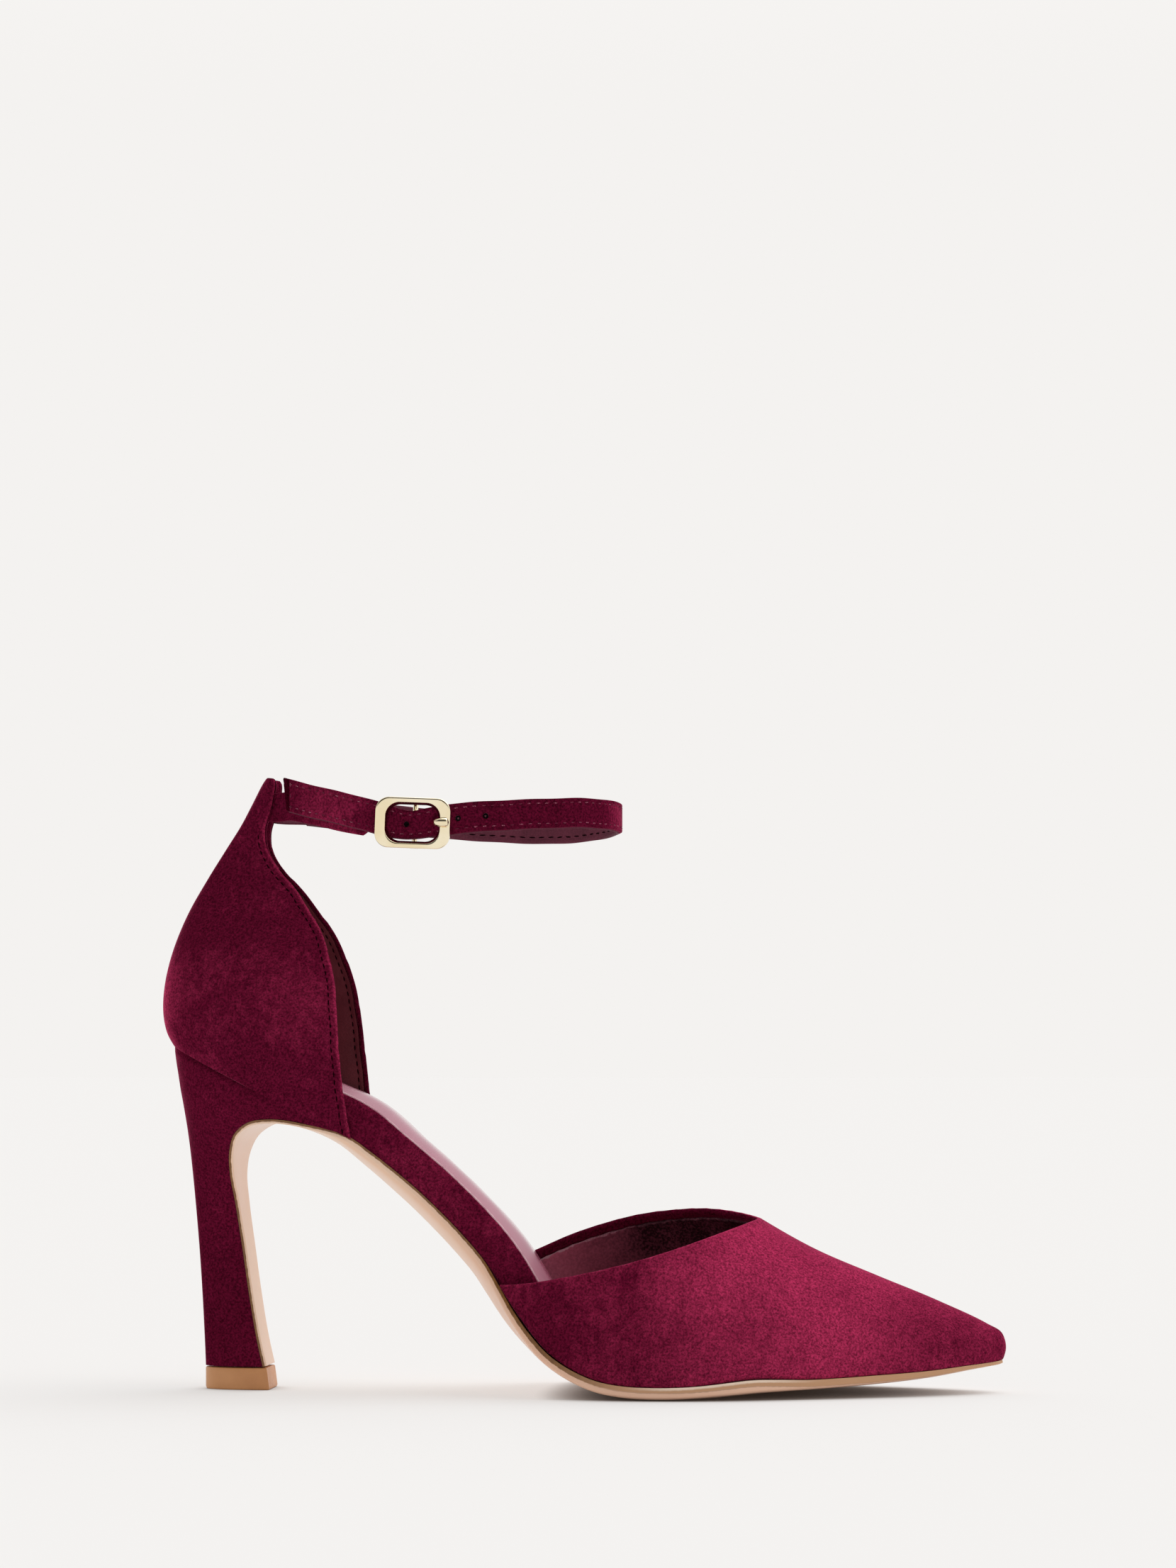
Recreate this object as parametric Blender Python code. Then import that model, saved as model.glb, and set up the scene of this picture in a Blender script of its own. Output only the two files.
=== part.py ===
"""Ankle-strap court shoe for the right foot: pointed vamp, open waist, heel cup with a strap tab, flared heel.

The toe points along +X, the inner side of the foot is +Y and the shoe stands on z = 0. Tables hold shares of
the driving sizes, which are in millimetres, and every mesh is scaled to metres as it is made.
"""
import math
from collections import namedtuple

import bmesh
import bpy
import numpy as np

for old in list(bpy.data.objects):
    bpy.data.objects.remove(old)

MM = 0.001

# Driving sizes of the shoe, in millimetres
LENGTH = 236.0
MIDDLE = 0.5018
BALL_WIDTH = 77.0
SEAT_WIDTH = 52.0
HEEL_HEIGHT = 96.4
INSTEP_HEIGHT = 48.4
CUFF_HEIGHT = 171.0

# Thicknesses and fits
WALL = 1.6
FIT = 0.4
GAP = 0.3
SOLE_GAP = 0.4
SOLE_SWELL = 0.8
SOLE_LEDGE = 0.4
SOLE_TAPER = 40.0
SOLE_TOE_WIDTH = 0.8
CROWN_FADE = 20.0
FLAP_THICK = 1.1
SOCK_THICK = 0.8
SOCK_INSET = 1.0
STRAP_WIDTH = 8.0
TIP_WIDTH = 8.8
LOOP_WIDTH = 4.2
STRAP_THICK = 1.6
TOP_PIECE_HEIGHT = 6.2

# Rounding of the vamp's sections and of the bottom of the last
VAMP_SQUARE = 1.12
VAMP_BULGE = 1.3
CROWN_POWER = 2.5

# Bottom of the last from the toe to the back of the seat. along: share of LENGTH from the back of the heel;
# rise: feather line, share of HEEL_HEIGHT; outer, inner: edges, shares of BALL_WIDTH; crown: depth of the
# rounded underside; board: height of the insole; sole: thickness of the sole's edge; upper: 1 where leather
# wraps over the edge; dip: how far the insole falls to its inner edge.
Last = namedtuple("Last", "along rise outer inner crown board sole upper dip")
LAST = [
    Last(0.9970, 0.0985, 0.030, 0.030, 0.0, 2.2, 0.8, 1, 0.0),
    Last(0.9930, 0.097, -0.005, 0.065, 0.1, 2.4, 0.9, 1, 0.0),
    Last(0.9815, 0.094, -0.047, 0.103, 0.2, 2.6, 0.9, 1, 0.0),
    Last(0.9580, 0.089, -0.104, 0.151, 0.4, 3.0, 1.0, 1, 0.0),
    Last(0.9150, 0.078, -0.181, 0.216, 0.7, 3.2, 1.2, 1, 0.0),
    Last(0.8470, 0.068, -0.278, 0.296, 1.0, 3.4, 1.5, 1, 0.0),
    Last(0.7710, 0.060, -0.373, 0.379, 1.3, 3.6, 1.8, 1, 0.0),
    Last(0.7100, 0.062, -0.439, 0.439, 1.6, 3.8, 2.7, 1, 0.0),
    Last(0.6530, 0.047, -0.481, 0.481, 1.8, 4.0, 2.4, 1, 0.0),
    Last(0.5930, 0.042, -0.498, 0.496, 1.9, 4.6, 2.4, 1, 0.0),
    Last(0.5340, 0.058, -0.487, 0.470, 1.5, 5.8, 2.3, 1, 0.9),
    Last(0.4790, 0.127, -0.455, 0.416, 1.8, 6.8, 2.0, 1, 1.9),
    Last(0.4360, 0.249, -0.406, 0.358, 3.6, 7.8, 1.6, 1, 2.2),
    Last(0.3980, 0.387, -0.364, 0.317, 4.3, 8.1, 1.5, 0, 1.8),
    Last(0.3470, 0.524, -0.330, 0.294, 4.2, 8.0, 1.5, 0, 1.5),
    Last(0.2920, 0.645, -0.317, 0.294, 3.7, 8.0, 1.5, 0, 1.1),
    Last(0.2390, 0.741, -0.330, 0.325, 2.6, 8.8, 1.5, 0, 0.7),
    Last(0.1860, 0.799, -0.336, 0.335, 0.0, 8.6, 1.5, 1, 0.3),
    Last(0.1270, 0.867, -0.318, 0.318, 0.0, 7.4, 1.5, 1, 0.0),
    Last(0.0780, 0.926, -0.280, 0.280, 0.0, 6.4, 1.5, 1, 0.0),
    Last(0.0450, 0.964, -0.221, 0.221, 0.0, 5.8, 1.5, 1, 0.0),
    Last(0.0250, 0.989, -0.138, 0.138, 0.0, 5.4, 1.5, 1, 0.0),
    Last(0.0172, 1.000, 0.000, 0.000, 0.0, 5.2, 1.5, 1, 0.0),
]

# Crest of the vamp over the first rows of the last. along: share of LENGTH; side: share of BALL_WIDTH;
# height: share of INSTEP_HEIGHT. Behind the throat it is the instep that the topline is cut from.
Crest = namedtuple("Crest", "along side height")
CREST = [
    Crest(0.9970, 0.030, 0.1962),
    Crest(1.0000, 0.030, 0.252),
    Crest(0.9966, 0.031, 0.331),
    Crest(0.9767, 0.032, 0.398),
    Crest(0.9216, 0.032, 0.523),
    Crest(0.8475, 0.031, 0.671),
    Crest(0.7712, 0.029, 0.831),
    Crest(0.7100, 0.026, 1.000),
    Crest(0.6530, 0.021, 1.178),
    Crest(0.5930, 0.013, 1.374),
    Crest(0.5340, 0.006, 1.570),
    Crest(0.4790, 0.000, 1.746),
    Crest(0.4360, 0.000, 1.870),
    Crest(0.3980, 0.000, 1.963),
]

# Topline of the vamp on the outer and the inner side. along: share of LENGTH; height: share of INSTEP_HEIGHT.
Topline = namedtuple("Topline", "along height")
OUTER_TOPLINE = [
    Topline(0.373, 0.645),
    Topline(0.420, 0.638),
    Topline(0.450, 0.651),
    Topline(0.489, 0.684),
    Topline(0.536, 0.731),
    Topline(0.581, 0.787),
    Topline(0.629, 0.860),
    Topline(0.672, 0.934),
    Topline(0.710, 1.000),
    Topline(0.746, 1.064),
]
INNER_TOPLINE = [
    Topline(0.373, 0.661),
    Topline(0.407, 0.727),
    Topline(0.436, 0.791),
    Topline(0.477, 0.880),
    Topline(0.519, 0.950),
    Topline(0.560, 1.002),
    Topline(0.603, 1.033),
    Topline(0.647, 1.045),
    Topline(0.687, 1.025),
    Topline(0.710, 1.000),
    Topline(0.746, 0.946),
]

# Levels of the heel cup from the seat to the top of the tab. back and edge: shares of LENGTH and CUFF_HEIGHT at
# the back seam and at the front edge; half: share of SEAT_WIDTH; square: roundness of the plan; wall: thickness.
Level = namedtuple("Level", "back_along back_rise edge_along edge_rise half square wall")
LEVELS = [
    Level(0.0170, 0.564, 0.2415, 0.413, 0.500, 2.8, WALL),
    Level(0.0078, 0.590, 0.2362, 0.459, 0.515, 2.8, WALL),
    Level(0.0040, 0.628, 0.2308, 0.517, 0.522, 2.7, WALL),
    Level(0.0072, 0.676, 0.2258, 0.591, 0.490, 2.6, WALL),
    Level(0.0168, 0.727, 0.2195, 0.664, 0.404, 2.5, WALL),
    Level(0.0332, 0.782, 0.2018, 0.740, 0.283, 2.4, WALL),
    Level(0.0557, 0.837, 0.1695, 0.809, 0.170, 2.3, WALL),
    Level(0.0784, 0.887, 0.1355, 0.866, 0.110, 2.2, 1.9),
    Level(0.0948, 0.922, 0.1272, 0.909, 0.118, 2.2, 4.0),
    Level(0.1075, 0.954, 0.1356, 0.951, 0.133, 2.2, 4.4),
    Level(0.1200, 0.987, 0.1398, 0.986, 0.130, 2.2, 3.2),
    Level(0.1266, 1.000, 0.1375, 0.998, 0.110, 2.2, 1.2),
]
TAB_LEVEL = 9.0
TAB_SKIN = 1.1
TAB_FIT = 0.45

# Sections of the heel from the lip under the waist to the top piece, fanned about the arch. back and front: shares
# of LENGTH and HEEL_HEIGHT; half: share of SEAT_WIDTH; square: roundness. The fronts also lead the breast flap.
Heel = namedtuple("Heel", "back_along back_rise front_along front_rise half square")
HEEL = [
    Heel(0.0180, 0.982, 0.1870, 0.772, 0.492, 2.5),
    Heel(0.0195, 0.950, 0.1650, 0.782, 0.478, 2.4),
    Heel(0.0220, 0.913, 0.1410, 0.785, 0.452, 2.4),
    Heel(0.0246, 0.871, 0.1175, 0.775, 0.412, 2.4),
    Heel(0.0280, 0.820, 0.0998, 0.742, 0.356, 2.3),
    Heel(0.0318, 0.757, 0.0913, 0.691, 0.285, 2.3),
    Heel(0.0355, 0.674, 0.0895, 0.626, 0.216, 2.2),
    Heel(0.0400, 0.555, 0.0937, 0.546, 0.168, 2.2),
    Heel(0.0447, 0.415, 0.1015, 0.415, 0.148, 2.2),
    Heel(0.0486, 0.270, 0.1099, 0.270, 0.142, 2.2),
    Heel(0.0512, 0.145, 0.1186, 0.145, 0.140, 2.2),
    Heel(0.0525, 0.068, 0.1256, 0.068, 0.140, 2.2),
]
TOP_PIECE_FLARE = 0.8
TOP_PIECE_BEVEL = 0.5

# Buckle on the outer side of the ankle: centre, size, window and bar
BUCKLE_X = -43.3
BUCKLE_Z = 156.4
BUCKLE_WIDTH = 20.6
BUCKLE_HEIGHT = 13.8
BUCKLE_CORNER = 3.8
WINDOW_WIDTH = 15.1
WINDOW_HEIGHT = 11.1
WINDOW_CORNER = 3.8
BUCKLE_TILT = math.radians(2.4)
FRAME_FRONT = -34.0
FRAME_REAR = -32.2
FRAME_EDGE = 0.5
BAR_Y = -28.0
BAR_RADIUS = 0.7
PRONG_RADIUS = 0.75
LUG_WIDTH = 2.2
FOLD_RADIUS = BAR_RADIUS + GAP + STRAP_THICK / 2
HOOK_RADIUS = BAR_RADIUS + GAP + PRONG_RADIUS

# Route of the strap's middle line. Inner lap: a narrow loop from the buckle's bar to the shoulder, where the
# strap takes its full width, then back to the tab.
Route = namedtuple("Route", "x y z")
STRAP_INNER_LAP = [
    Route(-46.4, -26.3, 156.3),
    Route(-50.5, -26.7, 156.6),
    Route(-56.3, -25.4, 157.2),
    Route(-57.0, -25.2, 157.3),
    Route(-65.0, -21.2, 159.0),
    Route(-73.0, -15.4, 161.1),
    Route(-80.0, -9.2, 162.6),
]
SHOULDER_ROW = 3
# From the tab round the inner side and the front of the ankle to the buckle, through it, and on to the tip.
STRAP_ROUND = [
    Route(-79.0, 9.9, 162.5),
    Route(-68.0, 18.5, 161.7),
    Route(-55.0, 25.0, 160.8),
    Route(-40.0, 28.6, 159.6),
    Route(-25.0, 29.0, 158.5),
    Route(-10.0, 25.6, 158.0),
    Route(1.0, 18.6, 158.3),
    Route(8.0, 9.5, 159.0),
    Route(10.4, 0.0, 159.5),
    Route(8.2, -9.5, 159.8),
    Route(2.0, -18.5, 159.8),
    Route(-8.0, -25.4, 159.3),
    Route(-20.0, -29.6, 158.6),
    Route(-29.0, -31.0, 157.9),
    Route(-34.6, -31.1, 157.3),
    Route(-39.0, -31.4, 156.8),
    Route(-43.4, -31.7, 156.5),
    Route(-48.0, -31.5, 156.9),
    Route(-52.5, -31.1, 157.9),
    Route(-60.0, -28.7, 160.0),
    Route(-70.0, -22.8, 162.5),
    Route(-80.7, -15.4, 165.5),
]
FOLD_LAP = 12.0
TAB_LEAN = math.radians(27.0)
TIP_SLANT = 1.7
TIP_ROWS = 11


def smooth(knots, rows):
    """Return a curve through the rows at rising knots, each slope taken from its two neighbours."""
    knots = np.asarray(knots, float)
    rows = np.asarray(rows, float)
    steps = np.diff(knots)[:, None]
    rates = np.diff(rows, axis=0) / steps
    inner = (rates[:-1] * steps[1:] + rates[1:] * steps[:-1]) / (steps[1:] + steps[:-1])
    first = 1.5 * rates[0] - 0.5 * inner[0]
    last = 1.5 * rates[-1] - 0.5 * inner[-1]
    slopes = np.vstack([first, inner, last])

    def curve(at):
        index = int(np.clip(np.searchsorted(knots, at) - 1, 0, len(knots) - 2))
        step = knots[index + 1] - knots[index]
        s = (at - knots[index]) / step
        return ((1 + 2 * s) * (1 - s) ** 2 * rows[index] + s * (1 - s) ** 2 * step * slopes[index]
                + s * s * (3 - 2 * s) * rows[index + 1] + s * s * (s - 1) * step * slopes[index + 1])

    return curve


def lengths_along(points):
    """Return the running length of a line of points."""
    return np.concatenate([[0.0], np.cumsum(np.linalg.norm(np.diff(points, axis=0), axis=1))])


def from_back(along):
    """Turn a share of the length into a place on the X axis, which starts midway along the shoe."""
    return LENGTH * (along - MIDDLE)


last_rows = np.array([(from_back(r.along), HEEL_HEIGHT * r.rise, BALL_WIDTH * r.outer, BALL_WIDTH * r.inner,
                       r.crown, r.board, r.sole, r.upper, r.dip) for r in LAST])
last_knots = lengths_along(last_rows[:, :3])
last_line = smooth(last_knots, last_rows)
crest_knots = last_knots[:len(CREST)]
crest_line = smooth(crest_knots, [(from_back(r.along), BALL_WIDTH * r.side, INSTEP_HEIGHT * r.height)
                                  for r in CREST])
toplines = [smooth([from_back(r.along) for r in table], [[INSTEP_HEIGHT * r.height] for r in table])
            for table in (OUTER_TOPLINE, INNER_TOPLINE)]
level_line = smooth(range(len(LEVELS)), [(from_back(r.back_along), CUFF_HEIGHT * r.back_rise,
                                          from_back(r.edge_along), CUFF_HEIGHT * r.edge_rise,
                                          SEAT_WIDTH * r.half, r.square, r.wall) for r in LEVELS])
heel_rows = np.array([(from_back(r.back_along), HEEL_HEIGHT * r.back_rise, from_back(r.front_along),
                       HEEL_HEIGHT * r.front_rise, SEAT_WIDTH * r.half, r.square) for r in HEEL])


def outline(at, inset):
    """Return x, z and the outer and inner edge of the last, moved in square to its plan."""
    x, z, outer, inner = last_line(at)[:4]
    nudge = 0.05
    ahead = last_line(min(at + nudge, last_knots[-1]))
    behind = last_line(max(at - nudge, 0.0))
    run = ahead[0] - behind[0]
    spread = ((ahead[3] - ahead[2]) - (behind[3] - behind[2])) / 2
    size = math.hypot(run, spread)
    half = max((inner - outer) / 2 + inset * run / size, 0.0)
    middle = (outer + inner) / 2
    return x - inset * spread / size, z, middle - half, middle + half


def crest(at, inset):
    """Return a point of the vamp's crest, moved in square to its side view."""
    nudge = 0.05
    ahead = crest_line(min(at + nudge, crest_knots[-1]))
    behind = crest_line(max(at - nudge, 0.0))
    run = ahead[0] - behind[0]
    climb = ahead[2] - behind[2]
    size = math.hypot(run, climb)
    x, y, z = crest_line(at)
    return x - inset * climb / size, y, z + inset * run / size


def vamp_point(at, turn, inset):
    """Return a point of the vamp: turn goes from -1 at the outer feather over the crest to 1 at the inner one."""
    x, z, outer, inner = outline(at, inset)
    top_x, top_y, top_z = crest(at, inset)
    side = outer if turn < 0 else inner
    lift = (1 - abs(turn)) * math.pi / 2
    bulge = VAMP_BULGE * (side - top_y) / (BALL_WIDTH / 2) * math.sin(2 * lift) * math.cos(lift) ** 2
    return (x + (top_x - x) * math.sin(lift),
            top_y + (side - top_y) * math.cos(lift) ** VAMP_SQUARE + bulge,
            z + (top_z - z) * math.sin(lift))


def topline_at(turn):
    """Return where the topline crosses one line of the vamp that runs back from the toe."""
    topline = toplines[0] if turn <= 0 else toplines[1]
    front, rear = crest_knots[4], crest_knots[-1]
    for _ in range(40):
        middle = (front + rear) / 2
        x, _, z = vamp_point(middle, turn, 0.0)
        if z < topline(x)[0]:
            front = middle
        else:
            rear = middle
    return (front + rear) / 2


def counter_point(level, turn, inset):
    """Return a point of the heel cup: turn goes from -1 at the outer front edge round the back to 1."""
    back_x, back_z, edge_x, edge_z, half, square, _ = level_line(level)
    swing = (1 - abs(turn)) * math.pi / 2
    reach = math.sin(swing) ** (2 / square)
    return (edge_x - (edge_x - back_x - inset) * reach,
            math.copysign((half - inset) * math.cos(swing) ** (2 / square), turn),
            edge_z + (back_z - edge_z) * reach)


def crown_drop(at, y):
    """Return how far the bottom of the last lies under its edge at one place across."""
    _, _, outer, inner = outline(at, WALL + FIT)
    share = min(abs(2 * y - outer - inner) / max(inner - outer, 0.1), 1.0)
    return last_line(at)[4] * (1 - share ** CROWN_POWER)


def facing(curve, at):
    """Return the direction square to a curve in the side view, on the side of the foot."""
    nudge = 0.05
    run, climb = (curve(at + nudge) - curve(at - nudge))[:2]
    size = math.hypot(run, climb)
    return climb / size, -run / size


def strip_point(foot, normal, y, height):
    """Return the point at a height over one place of the last's bottom line."""
    return foot[0] + normal[0] * height, y, foot[1] + normal[1] * height


def between_grids(first, second, closed_start=False):
    """Return the points and faces of a solid between two grids, which closes by itself at a pointed start."""
    first = np.asarray(first, float)
    second = np.asarray(second, float)
    rows, columns = first.shape[:2]
    count = rows * columns
    faces = []
    for row in range(rows - 1):
        for column in range(columns - 1):
            a = row * columns + column
            quad = (a, a + 1, a + columns + 1, a + columns)
            faces.append(quad)
            faces.append(tuple(count + i for i in reversed(quad)))
    rims = [[row * columns for row in range(rows)],
            [row * columns + columns - 1 for row in range(rows)],
            [(rows - 1) * columns + column for column in range(columns)]]
    if not closed_start:
        rims.append(list(range(columns)))
    for rim in rims:
        for a, b in zip(rim, rim[1:]):
            faces.append((a, b, count + b, count + a))
    return np.vstack([first.reshape(-1, 3), second.reshape(-1, 3)]), faces


def loft(rings, closed=False):
    """Return the points and faces of a solid through closed rings, capped at both ends unless it closes."""
    count = len(rings[0])
    faces = []
    for row in range(len(rings) if closed else len(rings) - 1):
        following = (row + 1) % len(rings)
        for i in range(count):
            j = (i + 1) % count
            faces.append((row * count + i, row * count + j, following * count + j, following * count + i))
    if not closed:
        faces.append(tuple(range(count)))
        faces.append(tuple((len(rings) - 1) * count + i for i in reversed(range(count))))
    return np.vstack([np.asarray(ring, float) for ring in rings]), faces


def make_object(name, shape, material):
    """Make a named object of points in millimetres and faces, with its faces turned outward."""
    points, faces = shape
    mesh = bpy.data.meshes.new(name)
    mesh.from_pydata([tuple(p * MM for p in point) for point in points], [], faces)
    solid = bmesh.new()
    solid.from_mesh(mesh)
    bmesh.ops.remove_doubles(solid, verts=solid.verts, dist=0.002 * MM)
    bmesh.ops.recalc_face_normals(solid, faces=solid.faces)
    solid.to_mesh(mesh)
    solid.free()
    mesh.shade_smooth()
    mesh.set_sharp_from_angle(angle=math.radians(40))
    thing = bpy.data.objects.new(name, mesh)
    bpy.context.collection.objects.link(thing)
    if material:
        mesh.materials.append(material)
    return thing


def make_material(name, colour, roughness, metallic=0.0):
    """Make a plain material."""
    material = bpy.data.materials.new(name)
    material.use_nodes = True
    surface = material.node_tree.nodes["Principled BSDF"]
    surface.inputs["Base Color"].default_value = (*colour, 1.0)
    surface.inputs["Roughness"].default_value = roughness
    surface.inputs["Metallic"].default_value = metallic
    material.diffuse_color = (*colour, 1.0)
    return material


def combine(thing, helper, operation):
    """Cut a helper solid out of an object, or join it on, and leave the helper out of the picture."""
    step = thing.modifiers.new(operation.lower() + " " + helper.name, "BOOLEAN")
    step.operation = operation
    step.object = helper
    step.solver = "EXACT"
    helper.hide_render = True
    helper.display_type = "WIRE"


suede = make_material("suede", (0.15, 0.010, 0.035), 0.9)
lining = make_material("lining leather", (0.10, 0.025, 0.035), 0.45)
sole_leather = make_material("sole", (0.66, 0.42, 0.30), 0.4)
cap_plastic = make_material("top piece", (0.33, 0.16, 0.08), 0.45)
gold = make_material("pale gold", (0.90, 0.78, 0.50), 0.2, 1.0)

# Vamp: rows run from the toe to the topline, closer together at the toe
VAMP_ROWS = 26
VAMP_COLUMNS = 28
VAMP_BUNCHING = 1.5
vamp_outer = []
vamp_inner = []
turns = [-1 + 2 * column / VAMP_COLUMNS for column in range(VAMP_COLUMNS + 1)]
ends = [topline_at(turn) for turn in turns]
for row in range(VAMP_ROWS + 1):
    share = (row / VAMP_ROWS) ** VAMP_BUNCHING
    vamp_outer.append([vamp_point(share * end, turn, 0.0) for turn, end in zip(turns, ends)])
    vamp_inner.append([vamp_point(share * end, turn, WALL) for turn, end in zip(turns, ends)])
make_object("vamp", between_grids(vamp_outer, vamp_inner, closed_start=True), suede)

# Heel cup: rows are levels from the seat to the top of the tab
COUNTER_ROWS = 22
COUNTER_COLUMNS = 24
turns = [-1 + 2 * column / COUNTER_COLUMNS for column in range(COUNTER_COLUMNS + 1)]
levels = [row * (len(LEVELS) - 1) / COUNTER_ROWS for row in range(COUNTER_ROWS + 1)]
counter_outer = [[counter_point(level, turn, 0.0) for turn in turns] for level in levels]
counter_inner = [[counter_point(level, turn, level_line(level)[6]) for turn in turns] for level in levels]
counter = make_object("counter", between_grids(counter_outer, counter_inner), suede)

# Insole board, whose rim stands bare between the vamp and the heel cup, and the sock on top of it
BOARD_ROWS = 36
BOARD_START = last_knots[2]
BOARD_END = last_knots[-2]
SOCK_FIRST_ROW = 2
BOARD_ACROSS = [(-1.0, 1.4), (-0.975, 0.4), (-0.90, 0.0), (-0.45, 0.0), (0.0, 0.0), (0.45, 0.0), (0.90, 0.0),
                (0.975, 0.4), (1.0, 1.4)]
SOCK_ACROSS = [(-1.0, 0.3), (-0.93, 0.0), (0.0, 0.0), (0.93, 0.0), (1.0, 0.3)]
board_top = []
board_bottom = []
sock_top = []
sock_bottom = []
for row in range(BOARD_ROWS + 1):
    at = BOARD_START + (BOARD_END - BOARD_START) * row / BOARD_ROWS
    height, dip = last_line(at)[[5, 8]]
    normal = facing(last_line, at)
    x, z, outer, inner = outline(at, WALL + FIT)
    slope = dip / (inner - outer)
    start = outer
    places = [((outer + inner) / 2 + (inner - outer) / 2 * share, fall) for share, fall in BOARD_ACROSS]
    board_top.append([strip_point((x, z), normal, y, height - fall * height / 8 - slope * (y - start))
                      for y, fall in places])
    board_bottom.append([strip_point((x, z), normal, y, -crown_drop(at, y)) for y, _ in places])
    if row >= SOCK_FIRST_ROW:
        outer += SOCK_INSET
        inner -= SOCK_INSET
        low = height + GAP
        places = [((outer + inner) / 2 + (inner - outer) / 2 * share, fall) for share, fall in SOCK_ACROSS]
        sock_top.append([strip_point((x, z), normal, y, low + SOCK_THICK - fall - slope * (y - start))
                         for y, fall in places])
        sock_bottom.append([strip_point((x, z), normal, y, low - slope * (y - start)) for y, _ in places])
make_object("insole_board", between_grids(board_top, board_bottom), suede)
make_object("sock_lining", between_grids(sock_top, sock_bottom), lining)

# Outsole: its line follows the last to the end of the waist, then the front of the heel
SOLE_ROWS = 46
SOLE_ACROSS = [-1.0, -0.94, -0.6, -0.2, 0.2, 0.6, 0.94, 1.0]
WAIST_END = 16
waist_knots = last_knots[:WAIST_END + 1]
sole_rows = []
for knot in sorted(list(waist_knots) + list((waist_knots[1:] + waist_knots[:-1]) / 2)):
    full = min(knot / SOLE_TAPER, 1.0)
    bare = np.interp(knot, last_knots, 1 - last_rows[:, 7])
    x, z, outer, inner = outline(knot, (WALL + FIT) * bare - SOLE_LEDGE * (2 * full - 1))
    normal = facing(last_line, max(knot, 0.1))
    sole_rows.append((x - normal[0] * SOLE_GAP, z - normal[1] * SOLE_GAP, min(outer, inner - SOLE_TOE_WIDTH),
                      inner, last_line(knot)[6], SOLE_SWELL * full, knot))
waist_rows = len(sole_rows)
for row in heel_rows:
    sole_rows.append((row[2], row[3], -row[4], row[4], FLAP_THICK, 0.0, waist_knots[-1]))
sole_rows = np.array(sole_rows)
sole_rows[waist_rows:, 6] += lengths_along(sole_rows[waist_rows - 1:, :2])[1:]
sole_knots = sole_rows[:, 6]
sole_line = smooth(sole_knots, sole_rows)
sole_top = []
sole_bottom = []
for row in range(SOLE_ROWS + 1):
    at = sole_knots[-1] * row / SOLE_ROWS
    x, z, outer, inner, edge, swell, _ = sole_line(at)
    normal = facing(sole_line, min(max(at, 0.1), sole_knots[-1] - 0.1))
    top_row = []
    bottom_row = []
    for share in SOLE_ACROSS:
        y = (outer + inner) / 2 + (inner - outer) / 2 * share
        fade = max(1 - max(at - waist_knots[-1], 0.0) / CROWN_FADE, 0.0)
        drop = crown_drop(min(at, waist_knots[-1]), y) * fade
        depth = edge + swell if abs(share) < 1 else edge
        under = strip_point((x, z), normal, y, -drop - depth)
        top_row.append(strip_point((x, z), normal, y, -drop))
        bottom_row.append((under[0], y, max(under[2], 0.0)))
    sole_top.append(top_row)
    sole_bottom.append(bottom_row)
make_object("outsole", between_grids(sole_top, sole_bottom), sole_leather)


def heel_ring(back, front, half, square, curve_count=18, front_count=5):
    """Return a D-shaped ring: a rounded back and a straight front."""
    ring = []
    for step in range(curve_count + 1):
        swing = math.pi * step / curve_count
        reach = math.sin(swing) ** (2 / square)
        side = abs(math.cos(swing)) ** (2 / square)
        ring.append((front[0] + (back[0] - front[0]) * reach, math.copysign(half * side, -math.cos(swing)),
                     front[1] + (back[1] - front[1]) * reach))
    for step in range(1, front_count):
        ring.append((front[0], half - 2 * half * step / front_count, front[1]))
    return ring


# Heel block, fanned from its seat to the top piece and kept a gap away from the breast flap
HEEL_RINGS = 18
heel_line = smooth(range(len(HEEL)), heel_rows)
lip = heel_rows[0]
seat_rise = np.interp(lip[2], last_rows[::-1, 0], last_rows[::-1, 1])
rings = [heel_ring((last_rows[-1, 0], last_rows[-1, 1] - GAP), (lip[2], seat_rise - GAP), lip[4], lip[5])]
for step in range(HEEL_RINGS + 1):
    at = (len(HEEL) - 1) * step / HEEL_RINGS
    back_x, back_z, front_x, front_z, half, square = heel_line(at)
    lead = facing(lambda place: heel_line(place)[2:4], min(max(at, 0.1), len(HEEL) - 1.1))
    rings.append(heel_ring((back_x, back_z), (front_x + lead[0] * GAP, front_z + lead[1] * GAP), half, square))
make_object("heel", loft(rings), suede)

# Top piece under the heel and the end of the flap
foot = heel_rows[-1]
top_front = foot[2] + FLAP_THICK
rings = [heel_ring((foot[0], TOP_PIECE_HEIGHT), (top_front, TOP_PIECE_HEIGHT), foot[4], foot[5]),
         heel_ring((foot[0], TOP_PIECE_BEVEL), (top_front + TOP_PIECE_FLARE, TOP_PIECE_BEVEL), foot[4], foot[5]),
         heel_ring((foot[0] + TOP_PIECE_BEVEL, 0.0), (top_front + TOP_PIECE_FLARE - TOP_PIECE_BEVEL, 0.0),
                   foot[4] - TOP_PIECE_BEVEL, foot[5])]
make_object("heel_top_piece", loft(rings), cap_plastic)


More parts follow.
